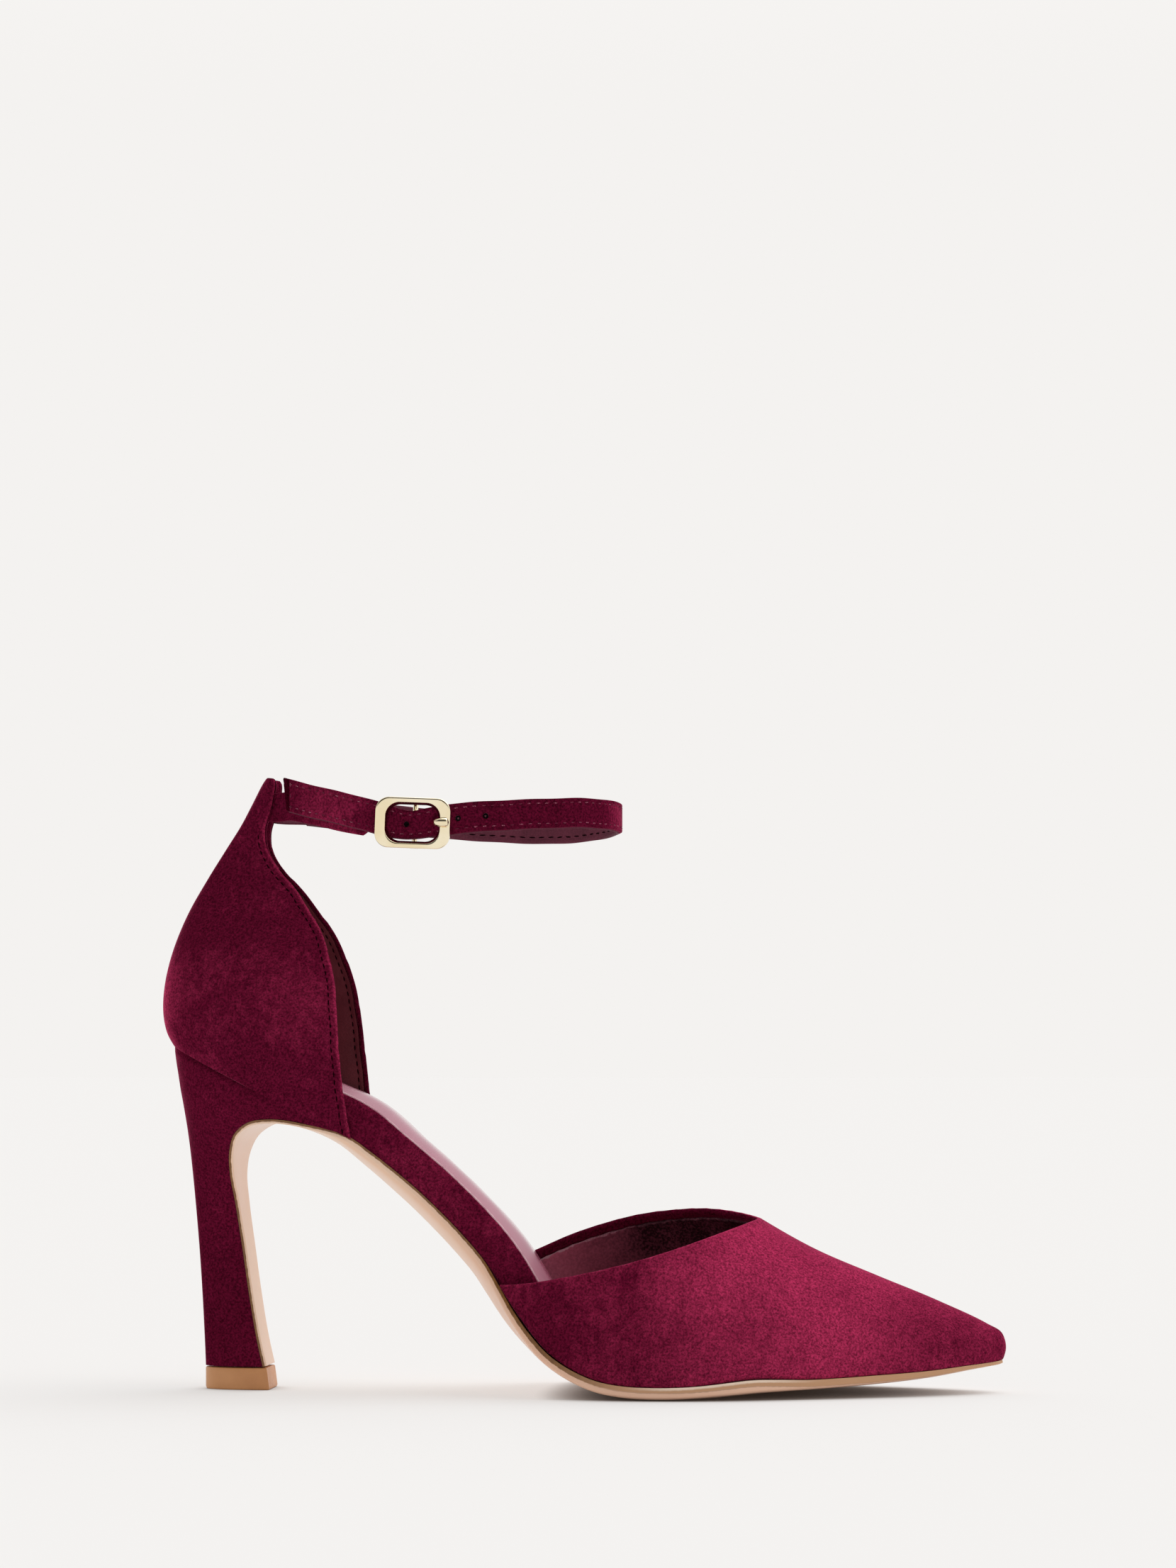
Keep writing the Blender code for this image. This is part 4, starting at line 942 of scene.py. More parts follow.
for row in heel_rows:
    sole_rows.append((row[2], row[3], -row[4], row[4], FLAP_THICK, 0.0, waist_knots[-1]))
sole_rows = np.array(sole_rows)
sole_rows[waist_rows:, 6] += running_length(sole_rows[waist_rows - 1:, :2])[1:]
sole_knots = sole_rows[:, 6]
sole_line = curve_through(sole_knots, sole_rows)

at = np.linspace(0, sole_knots[-1], SOLE_STATIONS)[:, None]
x, z, outer, inner, edge_deep, bulge = np.moveaxis(sole_line(at)[..., :6], -1, 0)
normal = square_to(sole_line, np.clip(at, 0.1, sole_knots[-1] - 0.1))
fade = np.maximum(1 - np.maximum(at - waist_knots[-1], 0.0) / CROWN_FADE, 0.0)
inward, downward, deeper = np.array(SOLE_EDGE).T
side_y = outer + np.minimum(inward, 0.2 * (inner - outer))
side_down = edge_deep * downward + bulge * deeper
from_top = edge_deep * downward + inward
flat_y = flat_between(side_y, outer, inner, SOLE_COLUMNS)
under_y = both_sides(side_y, flat_y, outer + inner - side_y)
under_down = both_sides(side_down, edge_deep + bulge + 0 * flat_y, side_down)
under_from_top = both_sides(from_top, FAR + 0 * flat_y, from_top)
drop = crown_drop(np.minimum(at, waist_knots[-1]), under_y) * fade
under = over_line(x, z, normal, under_y, -drop - under_down)
under[..., 2] = np.maximum(under[..., 2], 0.0)
over_y = evenly(outer, inner, under_y.shape[1])
over = over_line(x, z, normal, over_y, -crown_drop(np.minimum(at, waist_knots[-1]), over_y) * fade)

nude, tree, surface, place = new_finish("nude sole with painted edge", Specular_IOR_Level=0.45,
                                        Coat_Weight=0.2, Coat_Roughness=0.2)
clouds = noise(tree, place, 60.0, 5.0)
streaks = noise(tree, place, 700.0, 3.0)
forward = part_of(tree, "ShaderNodeSeparateXYZ", "X", {"Vector": place})
toned = sums(tree, "ADD", remap(tree, forward, *WAIST_TO_TOE, 0.85, 0.15), around(tree, clouds, 0.0, 0.15))
flesh = mixed(tree, toned, TOE_NUDE, WAIST_NUDE)
brown = mixed(tree, around(tree, streaks, 0.5, 0.5), DARK_BROWN, LIGHT_BROWN)
ragged = sums(tree, "ADD", marked(tree, "from_edge"), around(tree, streaks, 0.0, 0.06))
band = sums(tree, "ADD", remap(tree, forward, *PAINT_WIDENS, 0.62, 1.20),
            remap(tree, forward, *PAINT_TO_TOE, 0.0, 0.55))
past_paint = sums(tree, "SUBTRACT", ragged, band)
# Painted highlight: cream along the top of the tan edge at the ball, for the glare on its glossy upper edge.
highlight_stretch = sums(tree, "MULTIPLY", remap(tree, forward, *HIGHLIGHT_STARTS, 0.0, 1.0),
                    remap(tree, forward, *HIGHLIGHT_ENDS, 1.0, 0.0))
painted_highlight = sums(tree, "MULTIPLY", remap(tree, ragged, 0.35, 0.95, 1.0, 0.0), highlight_stretch)
tan = mixed(tree, painted_highlight, TAN_EDGE, CREAM_HIGHLIGHT)
paint = mixed(tree, remap(tree, forward, *BROWN_TO_TAN, 1.0, 0.0), tan, brown)
off_line = part_of(tree, "ShaderNodeMath", 0, {0: sums(tree, "SUBTRACT", past_paint, 0.1)},
                   operation="ABSOLUTE")
fine_line = sums(tree, "MULTIPLY", remap(tree, off_line, 0.06, 0.22, 0.5, 0.0),
                 remap(tree, forward, *LINE_STARTS, 0.0, 1.0))
tiers = mixed(tree, fine_line, flesh, brown)
dress(tree, surface, mixed(tree, remap(tree, past_paint, -0.10, 0.10, 0.0, 1.0), paint, tiers),
      bumped(tree, streaks, 0.12, 0.1), around(tree, clouds, 0.36, 0.06))
outsole = make_piece("outsole_and_breast_flap", body_through(two_sided(over, under)), nude,
                     from_edge=two_sided(0 * under_from_top, under_from_top))
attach(outsole, "root")
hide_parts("outsole")

# Heel
# A slim hollow-moulded heel covered in suede, flared from a narrow foot to a full seat, with a long lip that
# runs forward under the waist. The cover is drawn round from the back and its ends lie under the flap.
HEEL_RINGS = 110
RING_HALF = 26
LIP_TIP = 0.2365
COVER_GAP = 0.15
BLEND_ALONG = 0.212
BLEND_RISE = 0.7585
BLEND_SHARE = 0.55
BLEND_NARROWED = 0.1
heel_line = curve_through(range(len(HEEL)), heel_rows)


def heel_ring(back_x, back_z, front_x, front_z, half, square):
    """Rings with a rounded back and a straight front."""
    swing = np.linspace(0, math.pi, RING_HALF)
    reach = np.maximum(np.sin(swing), 0.0) ** (2 / square)
    side = np.abs(np.cos(swing)) ** (2 / square) * -np.sign(np.cos(swing))
    rounded = np.stack([front_x + (back_x - front_x) * reach, half * side,
                        front_z + (back_z - front_z) * reach], -1)
    across = half * np.linspace(-1, 1, RING_HALF)
    straight = np.stack(np.broadcast_arrays(front_x, across, front_z), -1)
    return two_sided(rounded, straight)


def one_ring(*values):
    """A single ring of the heel."""
    return heel_ring(*(np.array([[value]]) for value in values))


place_on_heel = np.linspace(0, len(HEEL) - 1, HEEL_RINGS)[:, None]
back_x, back_z, front_x, front_z, half, square = np.moveaxis(heel_line(place_on_heel), -1, 0)
lead = square_to(lambda place: heel_line(place)[..., 2:4], np.clip(place_on_heel, 0.1, len(HEEL) - 1.1))
rings = heel_ring(back_x, back_z, front_x + lead[0] * COVER_GAP, front_z + lead[1] * COVER_GAP, half, square)
seat_x, seat_z = last_rows[-1, :2]
lip_z = np.interp([from_back(LIP_TIP)], last_rows[::-1, 0], last_rows[::-1, 1])[0]
first = heel_rows[0]
tip = one_ring(seat_x, seat_z - COVER_GAP, from_back(LIP_TIP), lip_z - COVER_GAP, SEAT_WIDTH / 2, first[5])
blend = one_ring((seat_x + first[0]) / 2, seat_z * (1 - BLEND_SHARE) + first[1] * BLEND_SHARE,
                 from_back(BLEND_ALONG), HEEL_HEIGHT * BLEND_RISE, SEAT_WIDTH / 2 - BLEND_NARROWED, first[5])
# Lighter high at the back as painted sheen, and a little darker low down.
heel_suede = suede("heel suede", 0.43, [Spot(-112, 0, 84, 26, 0.06), Spot(-104, -6, 20, 40, -0.03)], 8)
heel = make_piece("heel_cover", body_through(np.concatenate([tip, blend, rings])), heel_suede)
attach(heel, "root")
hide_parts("heel")

# Top piece
# The hard-wearing plastic cap under the heel, moulded in satin bronze brown and pinned on, its edges eased.
TOP_PIECE_HEIGHT = 6.2
TOP_PIECE_FLARE = 0.8
TOP_PIECE_EDGE = [(TOP_PIECE_HEIGHT, 0.35), (TOP_PIECE_HEIGHT - 0.1, 0.12), (TOP_PIECE_HEIGHT - 0.35, 0.0),
                  (3.0, 0.0), (0.7, 0.0), (0.35, 0.1), (0.12, 0.25), (0.0, 0.5)]
foot = heel_rows[-1]
rings = []
for level, inset in TOP_PIECE_EDGE:
    flare = FLAP_THICK + TOP_PIECE_FLARE * (1 - level / TOP_PIECE_HEIGHT)
    front = foot[2] + flare - inset
    rings.append(one_ring(foot[0] + inset, level, front, level, foot[4] - inset, foot[5])[0])
bronze, tree, surface, place = new_finish("bronze brown plastic", Specular_IOR_Level=0.5, Coat_Weight=0.15,
                                          Coat_Roughness=0.3)
flow = noise(tree, place, 90.0, 4.0)
specks = noise(tree, place, 1600.0, 2.0)
dress(tree, surface, mixed(tree, around(tree, flow, 0.5, 0.5), (0.560, 0.240, 0.082), (0.650, 0.300, 0.115)),
      bumped(tree, specks, 0.15, 0.08), around(tree, specks, 0.44, 0.08))
top_piece = make_piece("heel_tip", body_through(np.array(rings)), bronze)
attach(top_piece, "root")
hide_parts("heel_top_piece")

# Sock lining
# A full-length sock of thin polished leather, glued on top of the board. Its cut edge shows all round the
# waist and ripples a little where the suede is gathered under it.
SOCK_GAP = 0.3
SOCK_THICK = 0.8
SOCK_INSET = 1.0
SOCK_DOME = 0.8
SOCK_ROUND = 0.35
SOCK_BED = 0.02
SOCK_START = 2 / 36
SOCK_STATIONS = 200
SOCK_COLUMNS = 23
LONG_RIPPLE = 0.16
SHORT_RIPPLE = 0.10
SOCK_WAVES = 0.04
at = last_knots[2] + (last_knots[-2] - last_knots[2]) * np.linspace(SOCK_START, 1, SOCK_STATIONS)[:, None]
x, z, outer, inner = edges_of_last(at, WALL + FIT)
slope = last_line(at)[..., DIP] / (inner - outer)
start = outer
ripple = LONG_RIPPLE * np.sin(at * 0.9) * np.sin(at * 0.31 + 1.0) + SHORT_RIPPLE * np.sin(at * 2.3 + 0.6)
outer = outer + SOCK_INSET + ripple
inner = inner - SOCK_INSET - ripple[::-1]
normal = square_to(last_line, at)
height = last_line(at)[..., BOARD]
bend = np.linspace(0, math.pi / 2, 5)
side_y = outer + SOCK_ROUND * (1 - np.cos(bend))
side_up = (SOCK_GAP + SOCK_THICK - SOCK_ROUND * (1 - np.sin(bend))) * np.ones_like(side_y)
flat_y = flat_between(side_y, outer, inner, SOCK_COLUMNS)
across = (2 * flat_y - outer - inner) / (inner - outer)
waves = SOCK_WAVES * np.sin(at * 0.5) * np.cos(flat_y * 0.2)
top_y = both_sides(side_y, flat_y, outer + inner - side_y)
top_up = both_sides(side_up, SOCK_GAP + SOCK_THICK + SOCK_DOME * (1 - across ** 2) + waves, side_up)
under_y = evenly(outer, inner, top_y.shape[1])
rings = two_sided(over_line(x, z, normal, top_y, height + top_up - slope * (top_y - start)),
                  over_line(x, z, normal, under_y, height + SOCK_BED - slope * (under_y - start)))
sock_leather = leather("polished sock leather", (0.405, 0.112, 0.182), (0.362, 0.097, 0.158), scale=900.0,
                       rough=0.11, bump=0.03, gloss=0.60, coat=0.12,
                       edge=("from_cut", 0.45, (0.650, 0.375, 0.430)),
                       polish=Edge("from_far_side", 8.0, 36.0, 0.45))
from_far_side = two_sided(inner - top_y, inner - under_y)
from_cut = np.minimum(np.abs(two_sided(top_y - outer, under_y - outer)), np.abs(from_far_side))
sock = make_piece("sock", body_through(rings), sock_leather, from_cut=from_cut, from_far_side=from_far_side)
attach(sock, "root")
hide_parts("sock_lining")

# Ankle strap
# Two layers, suede outside and a soft pink-brown leather inside, stitched together along both edges. Folded
# round the buckle's bar, it runs through the tab, round the ankle and through the buckle to a slanted tip.
STRAP_WIDTH = 8.0
TIP_WIDTH = 8.8
LOOP_WIDTH = 4.2
STRAP_THICK = 1.6
SKIN = STRAP_THICK / 2
LINING_SHARE = 0.6
MEETING = -SKIN + LINING_SHARE
LINING_EDGE = 0.97
LINING_LIP = 1.07
LINING_TRIM = 0.94
ROW_SHARE = 0.69
BUCKLE_X = -43.3
BUCKLE_Z = 156.4
BAR_Y = -28.0
BAR_RADIUS = 0.7
GAP = 0.3
FOLD_RADIUS = BAR_RADIUS + GAP + STRAP_THICK / 2
FOLD_LAP = 12.0
TAB_LEVEL = 9.0
TAB_DEPTH = 1.1 + GAP + STRAP_THICK / 2
TAB_LEAN = math.radians(27.0)
TAB_TURNS = np.array([-1, -0.7, -0.4, 0, 0.4, 0.7, 1])
TAB_LEANS = np.array([0.0, 0.4, 0.85, 1.0, 0.85, 0.4, 0.0])
TIP_SLANT = 1.7
TIP_SLANT_START = 6.0
TIP_ROWS = 11
DRAWN_IN = (0.5, 0.95, 0.5)
SHOULDER_ROW = 3
STRAP_STATIONS = 420
HOLE_PLACES = (-45.1, -30.9, -23.8)
HOLE_SHADE = 1.7
HOLE_DARK = -0.9
# Spots of nap tone and of painted light: lighter on the short strap behind the buckle, darker along the near
# run, painted sheen where the strap turns round the front of the ankle, and lighter in the buckle's window.
STRAP_NAP_AND_SHEEN = [
    Spot(-66, -28, 160, 26, 0.20),
    Spot(-12, -26, 158, 40, -0.10),
    Spot(10, -6, 159, 11, 0.26),
    Spot(-38, -31, 157, 7, 0.12),
]

Route = namedtuple("Route", "x y z")
INNER_LAP = [
    Route(-46.4, -26.3, 156.3),
    Route(-50.5, -26.7, 156.6),
    Route(-56.3, -25.4, 157.2),
    Route(-57.0, -25.2, 157.3),
    Route(-65.0, -21.2, 159.0),
    Route(-73.0, -15.4, 161.1),
    Route(-80.0, -9.2, 162.6),
]
ROUND_ANKLE = [
    Route(-79.0, 9.9, 162.5),
    Route(-68.0, 18.5, 161.7),
    Route(-55.0, 25.0, 160.8),
    Route(-40.0, 28.6, 159.6),
    Route(-25.0, 29.0, 158.5),
    Route(-10.0, 25.6, 158.0),
    Route(1.0, 18.6, 158.3),
    Route(8.0, 9.5, 159.0),
    Route(10.4, 0.0, 159.5),
    Route(8.2, -9.5, 159.8),
    Route(2.0, -18.5, 159.8),
    Route(-8.0, -25.4, 159.3),
    Route(-20.0, -29.6, 158.6),
    Route(-29.0, -31.0, 157.9),
    Route(-34.6, -31.1, 157.3),
    Route(-39.0, -31.4, 156.6),
    Route(-43.4, -31.7, 156.0),
    Route(-48.0, -31.5, 156.6),
    Route(-52.5, -31.1, 157.9),
    Route(-60.0, -28.7, 160.0),
    Route(-70.0, -22.8, 162.5),
    Route(-80.7, -15.4, 165.5),
]
folded = [(BUCKLE_X - FOLD_LAP, BAR_Y - 0.75, BUCKLE_Z + 0.9), (BUCKLE_X - 7.0, BAR_Y - 1.0, BUCKLE_Z + 0.4)]
for angle in np.radians(np.linspace(-110, 110, 7)):
    folded.append((BUCKLE_X + FOLD_RADIUS * math.cos(angle), BAR_Y + FOLD_RADIUS * math.sin(angle), BUCKLE_Z))
tab_row = len(folded) + len(INNER_LAP)
ankle_row = tab_row + len(TAB_TURNS)
route = np.array(folded + INNER_LAP + cup_surface(TAB_LEVEL, TAB_TURNS, TAB_DEPTH).tolist() + ROUND_ANKLE)
leans = np.zeros(len(route))
leans[tab_row:ankle_row] = TAB_LEAN * TAB_LEANS
strap_knots = running_length(route)
strap_line = curve_through(strap_knots, np.column_stack([route, leans]))
strap_at = np.linspace(0, strap_knots[-1], STRAP_STATIONS)
widths = np.full(len(route), STRAP_WIDTH)
widths[:len(folded) + SHOULDER_ROW] = LOOP_WIDTH
widths[-TIP_ROWS:] = np.linspace(STRAP_WIDTH, TIP_WIDTH, TIP_ROWS)
widths[-7:-4] -= DRAWN_IN
half_width = np.interp(strap_at, strap_knots, widths)[:, None] / 2
middle = strap_line(strap_at)
ahead = run_of(strap_line, strap_at, strap_knots[-1])[:, :3]
ahead /= np.linalg.norm(ahead, axis=1, keepdims=True)
outward = np.column_stack([-ahead[:, 1], ahead[:, 0], 0 * ahead[:, 0]])
outward /= np.linalg.norm(outward, axis=1, keepdims=True)
upward = np.cross(ahead, outward)
lean = middle[:, 3:]
strap_up = np.cos(lean) * upward - np.sin(lean) * outward
strap_out = np.cos(lean) * outward + np.sin(lean) * upward
slant = TIP_SLANT * np.clip((strap_at - strap_knots[-1]) / TIP_SLANT_START + 1, 0.0, 1.0)
wander = 0.06 * np.sin(strap_at * 0.43) + 0.05 * np.sin(strap_at * 0.17 + 1.3)


def strap_sheet(profile):
    """Points across the strap at each station, for a profile of (share of half the width, height)."""
    share, out = np.array(profile).T
    place = middle[:, None, :3] + strap_up[:, None] * (share * half_width + wander[:, None])[..., None]
    return place + strap_out[:, None] * out[:, None] + ahead[:, None] * (slant[:, None] * share)[..., None]


def mirrored(half, level):
    """Profile of both halves of the strap, from the half given from its edge to near the middle."""
    return [(-u, o) for u, o in half] + [(0.0, level)] + half[::-1]


last_lap = strap_at > strap_knots[ankle_row + 8]
hole_at = [np.interp(-place, -middle[last_lap, 0], strap_at[last_lap]) for place in HOLE_PLACES]
hole_index = [int(np.abs(strap_at - at).argmin()) for at in hole_at]
# Painted shade round each hole, darkest at its edge, used on the suede and on the lining.
painted_hole_shade = [Spot(*middle[i, :3], HOLE_SHADE, HOLE_DARK) for i in hole_index]
outer_face = mirrored([(1.0, 0.15), (0.99, 0.45), (0.96, 0.68), (0.91, 0.78), (0.84, SKIN), (0.74, 0.75),
                       (ROW_SHARE, 0.70), (0.64, 0.75), (0.56, SKIN), (0.42, SKIN), (0.22, SKIN)], SKIN)
inner_face = [(u, MEETING) for u in np.linspace(-1, 1, len(outer_face))]
inner_face[0] = (-0.99, MEETING)
inner_face[-1] = (0.99, MEETING)
strap_suede = suede("strap suede", 0.42, STRAP_NAP_AND_SHEEN + painted_hole_shade, 90, [Edge("from_tip", 1.5, 2.1, -0.9)])
rings = two_sided(strap_sheet(outer_face), strap_sheet(inner_face))
from_tip = np.repeat((strap_knots[-1] - strap_at)[:, None], rings.shape[1], axis=1)
strap = make_piece("ankle_strap_suede", body_through(rings), strap_suede, from_tip=from_tip)

lining_face = mirrored([(LINING_EDGE, MEETING - 0.05), (0.965, MEETING - 0.35), (0.93, -SKIN + 0.08),
                        (0.86, -SKIN), (0.76, -SKIN + 0.05), (0.715, -SKIN + 0.1), (0.67, -SKIN + 0.05),
                        (0.55, -SKIN), (0.3, -SKIN)], -SKIN)
lining_face[:3] = [(-LINING_LIP, MEETING - 0.05), (-LINING_LIP, MEETING - 0.35), (-1.03, -SKIN + 0.08)]
lining_back = [(u, MEETING - 0.02) for u in np.linspace(-LINING_LIP, LINING_EDGE, len(lining_face))]
# The lining's near-black colour shows mostly round the holes, as their painted shade.
pink_leather = leather("strap lining leather", (0.272, 0.063, 0.106), (0.004, 0.001, 0.002), scale=1300.0,
                       rough=0.6, bump=0.5, gloss=0.1, mottle=0.07, painted_light_and_shade=painted_hole_shade)
first_lap = strap_at < strap_knots[ankle_row]
rings = two_sided(strap_sheet(lining_back), strap_sheet(lining_face))
trimmed = two_sided(*(strap_sheet([(max(u, -LINING_TRIM), o) for u, o in profile])
                      for profile in (lining_back, lining_face)))
rings[first_lap] = trimmed[first_lap]
strap_lining = make_piece("ankle_strap_lining", body_through(rings), pink_leather)

# Holes in the strap
# Small round holes punched through both layers at one spacing, for setting the prong tighter or looser.
HOLE_RADIUS = 0.80
PINHOLE_RADIUS = 0.26
PUNCH_LENGTH = 4.0


def punch_tree():
    """Geometry nodes that cut one round hole at each marked point, along the direction kept on it."""
    tree, given = new_group("punched holes", "Punched", Strap="Geometry", Marks="Object", Radius="Float",
                            Leather="Material")
    marks = part_of(tree, "GeometryNodeObjectInfo", "Geometry", {"Object": given["Marks"]})
    punch = part_of(tree, "GeometryNodeMeshCylinder", "Mesh", {"Vertices": 20, "Radius": given["Radius"],
                                                               "Depth": PUNCH_LENGTH * MM})
    through = part_of(tree, "GeometryNodeInputNamedAttribute", "Attribute", {"Name": "outward"},
                      data_type="FLOAT_VECTOR")
    turned = part_of(tree, "FunctionNodeAlignRotationToVector", "Rotation", {"Vector": through}, axis="Z")
    row = part_of(tree, "GeometryNodeInstanceOnPoints", "Instances", {"Points": marks, "Instance": punch,
                                                                      "Rotation": turned})
    cutter = part_of(tree, "GeometryNodeRealizeInstances", "Geometry", {"Geometry": row})
    cut = part_of(tree, "GeometryNodeMeshBoolean", "Mesh", {"Mesh 1": given["Strap"], "Mesh 2": cutter},
                  operation="DIFFERENCE", solver="EXACT")
    dyed = part_of(tree, "GeometryNodeSetMaterial", "Geometry",
                   {"Geometry": cut, "Material": given["Leather"]})
    add(tree, "NodeGroupOutput", {"Punched": dyed})
    return tree


hole_marks = guide("hole marks", [(middle[hole_index, :3], strap_out[hole_index])])
punched_holes = punch_tree()
for piece, stuff, radius in ((strap, strap_suede, HOLE_RADIUS), (strap_lining, pink_leather, PINHOLE_RADIUS)):
    worked(piece, punched_holes, {"Marks": hole_marks, "Radius": radius * MM, "Leather": stuff})
    piece.data.set_sharp_from_angle(angle=math.radians(45))
bpy.data.objects.remove(hole_marks)
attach(strap, "root")
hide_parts("ankle_strap")
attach(strap_lining, "root")

# Stitching of the strap
# Fine pale pink thread, sunk into the suede along both edges and across the tip. On the lining it is dark.
TIP_MARGIN = 1.9
TIP_POINTS = 12
INSIDE_SHARE = 0.88
PALE_STITCH = (2.5, 1.15, 0.32)
DARK_STITCH = (2.9, 2.0, 0.42)
across_tip = int(np.abs(strap_knots[-1] - strap_at - TIP_MARGIN).argmin())
sewn = slice(int(first_lap.sum()), across_tip + 1)
rows_outside = []
rows_inside = []
for share in (-ROW_SHARE, ROW_SHARE):
    rows_outside.append((strap_sheet([(share, 0.72)])[sewn, 0], strap_out[sewn]))
    rows_inside.append((strap_sheet([(INSIDE_SHARE * share, -SKIN + 0.06)])[sewn, 0], -strap_out[sewn]))
tip_row = strap_sheet([(share, 0.78) for share in np.linspace(-ROW_SHARE, ROW_SHARE, TIP_POINTS)])[across_tip]
rows_outside.append((tip_row, np.repeat(strap_out[across_tip:across_tip + 1], TIP_POINTS, axis=0)))
pale_thread = thread_finish("pale pink thread", (0.470, 0.160, 0.230), (0.130, 0.020, 0.042))
strap_stitches = sew("strap_stitches_outside", rows_outside, pale_thread, *PALE_STITCH)
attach(strap_stitches, "root")
inside_stitches = sew("strap_stitches_inside", rows_inside, dark_thread, *DARK_STITCH)
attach(inside_stitches, "root")

# Buckle frame
# A flat oblong ring with round corners, stamped and polished in pale gold. Two lugs behind it take the bar.
BUCKLE_WIDTH = 20.6
BUCKLE_HEIGHT = 13.8
BUCKLE_CORNER = 3.8
WINDOW_WIDTH = 15.1
WINDOW_HEIGHT = 11.1
WINDOW_CORNER = 3.8
BUCKLE_TILT = math.radians(2.4)
FRAME_FRONT = -34.0
FRAME_REAR = -32.2
BEVEL_SIDE = 0.40
BEVEL_HEIGHT = 0.60
LUG_WIDTH = 2.2
LUG_LOW = WINDOW_HEIGHT / 2 + 0.1
LUG_HIGH = BUCKLE_HEIGHT / 2 - 0.1
LUG_CORNER = 0.3
LUG_END = BAR_Y + BAR_RADIUS
LUG_EDGE = [(FRAME_REAR - 0.5, 1.0), (LUG_END, 1.0), (LUG_END + 0.2, 0.94), (LUG_END + GAP, 0.8)]

# Section of the ring: place from the outer edge (0) over the face to the window (1) and down the bevel (2),
# and share of the depth
RING_SECTION = [(0.12, 1.00), (0.03, 0.93), (0.0, 0.78), (0.0, 0.26), (0.03, 0.12), (0.10, 0.05),
                (0.22, 0.015), (0.50, 0.0), (0.80, 0.015), (0.92, 0.04), (1.0, 0.09), (1.12, 0.18),
                (1.50, 0.395), (1.90, 0.62), (2.0, 0.70), (2.0, 0.88), (1.92, 0.96), (1.75, 1.0)]


def rounded_rectangle(width, height, corner, steps=14):
    """Points of a rectangle with round corners."""
    points = []
    for quarter_turn, (sign_x, sign_z) in enumerate(((1, 1), (-1, 1), (-1, -1), (1, -1))):
        for angle in math.pi / 2 * (quarter_turn + np.linspace(0, 1, steps + 1)):
            points.append((sign_x * (width / 2 - corner) + corner * math.cos(angle),
                           sign_z * (height / 2 - corner) + corner * math.sin(angle)))
    return np.array(points)


def in_buckle(across, depth, up):
    """Points given in the tilted plane of the buckle."""
    level = math.cos(BUCKLE_TILT)
    tilt = math.sin(BUCKLE_TILT)
    return np.stack(np.broadcast_arrays(BUCKLE_X + across * level + up * tilt, depth,
                                        BUCKLE_Z - across * tilt + up * level), -1)


def ring_through(rings):
    """Points and faces of a body through rings that close on themselves."""
    count, size = rings.shape[:2]
    index = np.arange(count * size).reshape(count, size)
    beside = np.roll(index, -1, axis=1)
    faces = np.stack([index, beside, np.roll(beside, -1, axis=0), np.roll(index, -1, axis=0)], -1)
    return rings.reshape(-1, 3), faces.reshape(-1, 4).tolist()


outer_loop = rounded_rectangle(BUCKLE_WIDTH, BUCKLE_HEIGHT, BUCKLE_CORNER)
window_loop = rounded_rectangle(WINDOW_WIDTH, WINDOW_HEIGHT, WINDOW_CORNER)
bevel_loop = rounded_rectangle(WINDOW_WIDTH - 2 * BEVEL_SIDE, WINDOW_HEIGHT - 2 * BEVEL_HEIGHT, WINDOW_CORNER)
place_on_limb, deep = np.array(RING_SECTION).T
face = np.minimum(place_on_limb, 1.0)[:, None, None]
bevel = np.maximum(place_on_limb - 1.0, 0.0)[:, None, None]
section = outer_loop + (window_loop - outer_loop) * face + (bevel_loop - window_loop) * bevel
points, faces = ring_through(in_buckle(section[..., 0].T, FRAME_FRONT + (FRAME_REAR - FRAME_FRONT) * deep,
                                       section[..., 1].T))
down_bevel = np.tile(bevel.ravel(), section.shape[1])
for sign in (1, -1):
    flat = rounded_rectangle(LUG_WIDTH, LUG_HIGH - LUG_LOW, LUG_CORNER, 4)
    lug = [in_buckle(flat[:, 0] * shrink, depth, sign * (LUG_LOW + LUG_HIGH) / 2 + flat[:, 1] * shrink)
           for depth, shrink in LUG_EDGE]
    lug_points, lug_faces = body_through(np.array(lug))
    faces = faces + [[len(points) + i for i in corners] for corners in lug_faces]
    points = np.concatenate([points, lug_points])
    down_bevel = np.concatenate([down_bevel, np.zeros(len(lug_points))])
gold, tree, surface, place = new_finish("polished pale gold", Metallic=1.0)
tint = noise(tree, place, 110.0, 3.0)
hairlines = noise(tree, stretched(tree, place, (0.12, 1.0, 1.0)), 3200.0, 2.0)
colour = mixed(tree, around(tree, tint, 0.5, 0.5), (0.880, 0.750, 0.490), (0.940, 0.845, 0.630))
# Darker down the bevel into the window, a painted dark reflection.
dress(tree, surface, shaded(tree, colour, remap(tree, marked(tree, "down_bevel"), 0.0, 0.4, 1.0, 0.35)),
      bumped(tree, hairlines, 0.04, 0.05), around(tree, hairlines, 0.065, 0.025))
buckle_frame = make_piece("buckle_ring", (points, faces), gold, sharp=60, down_bevel=down_bevel)
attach(buckle_frame, "root")
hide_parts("buckle_frame")

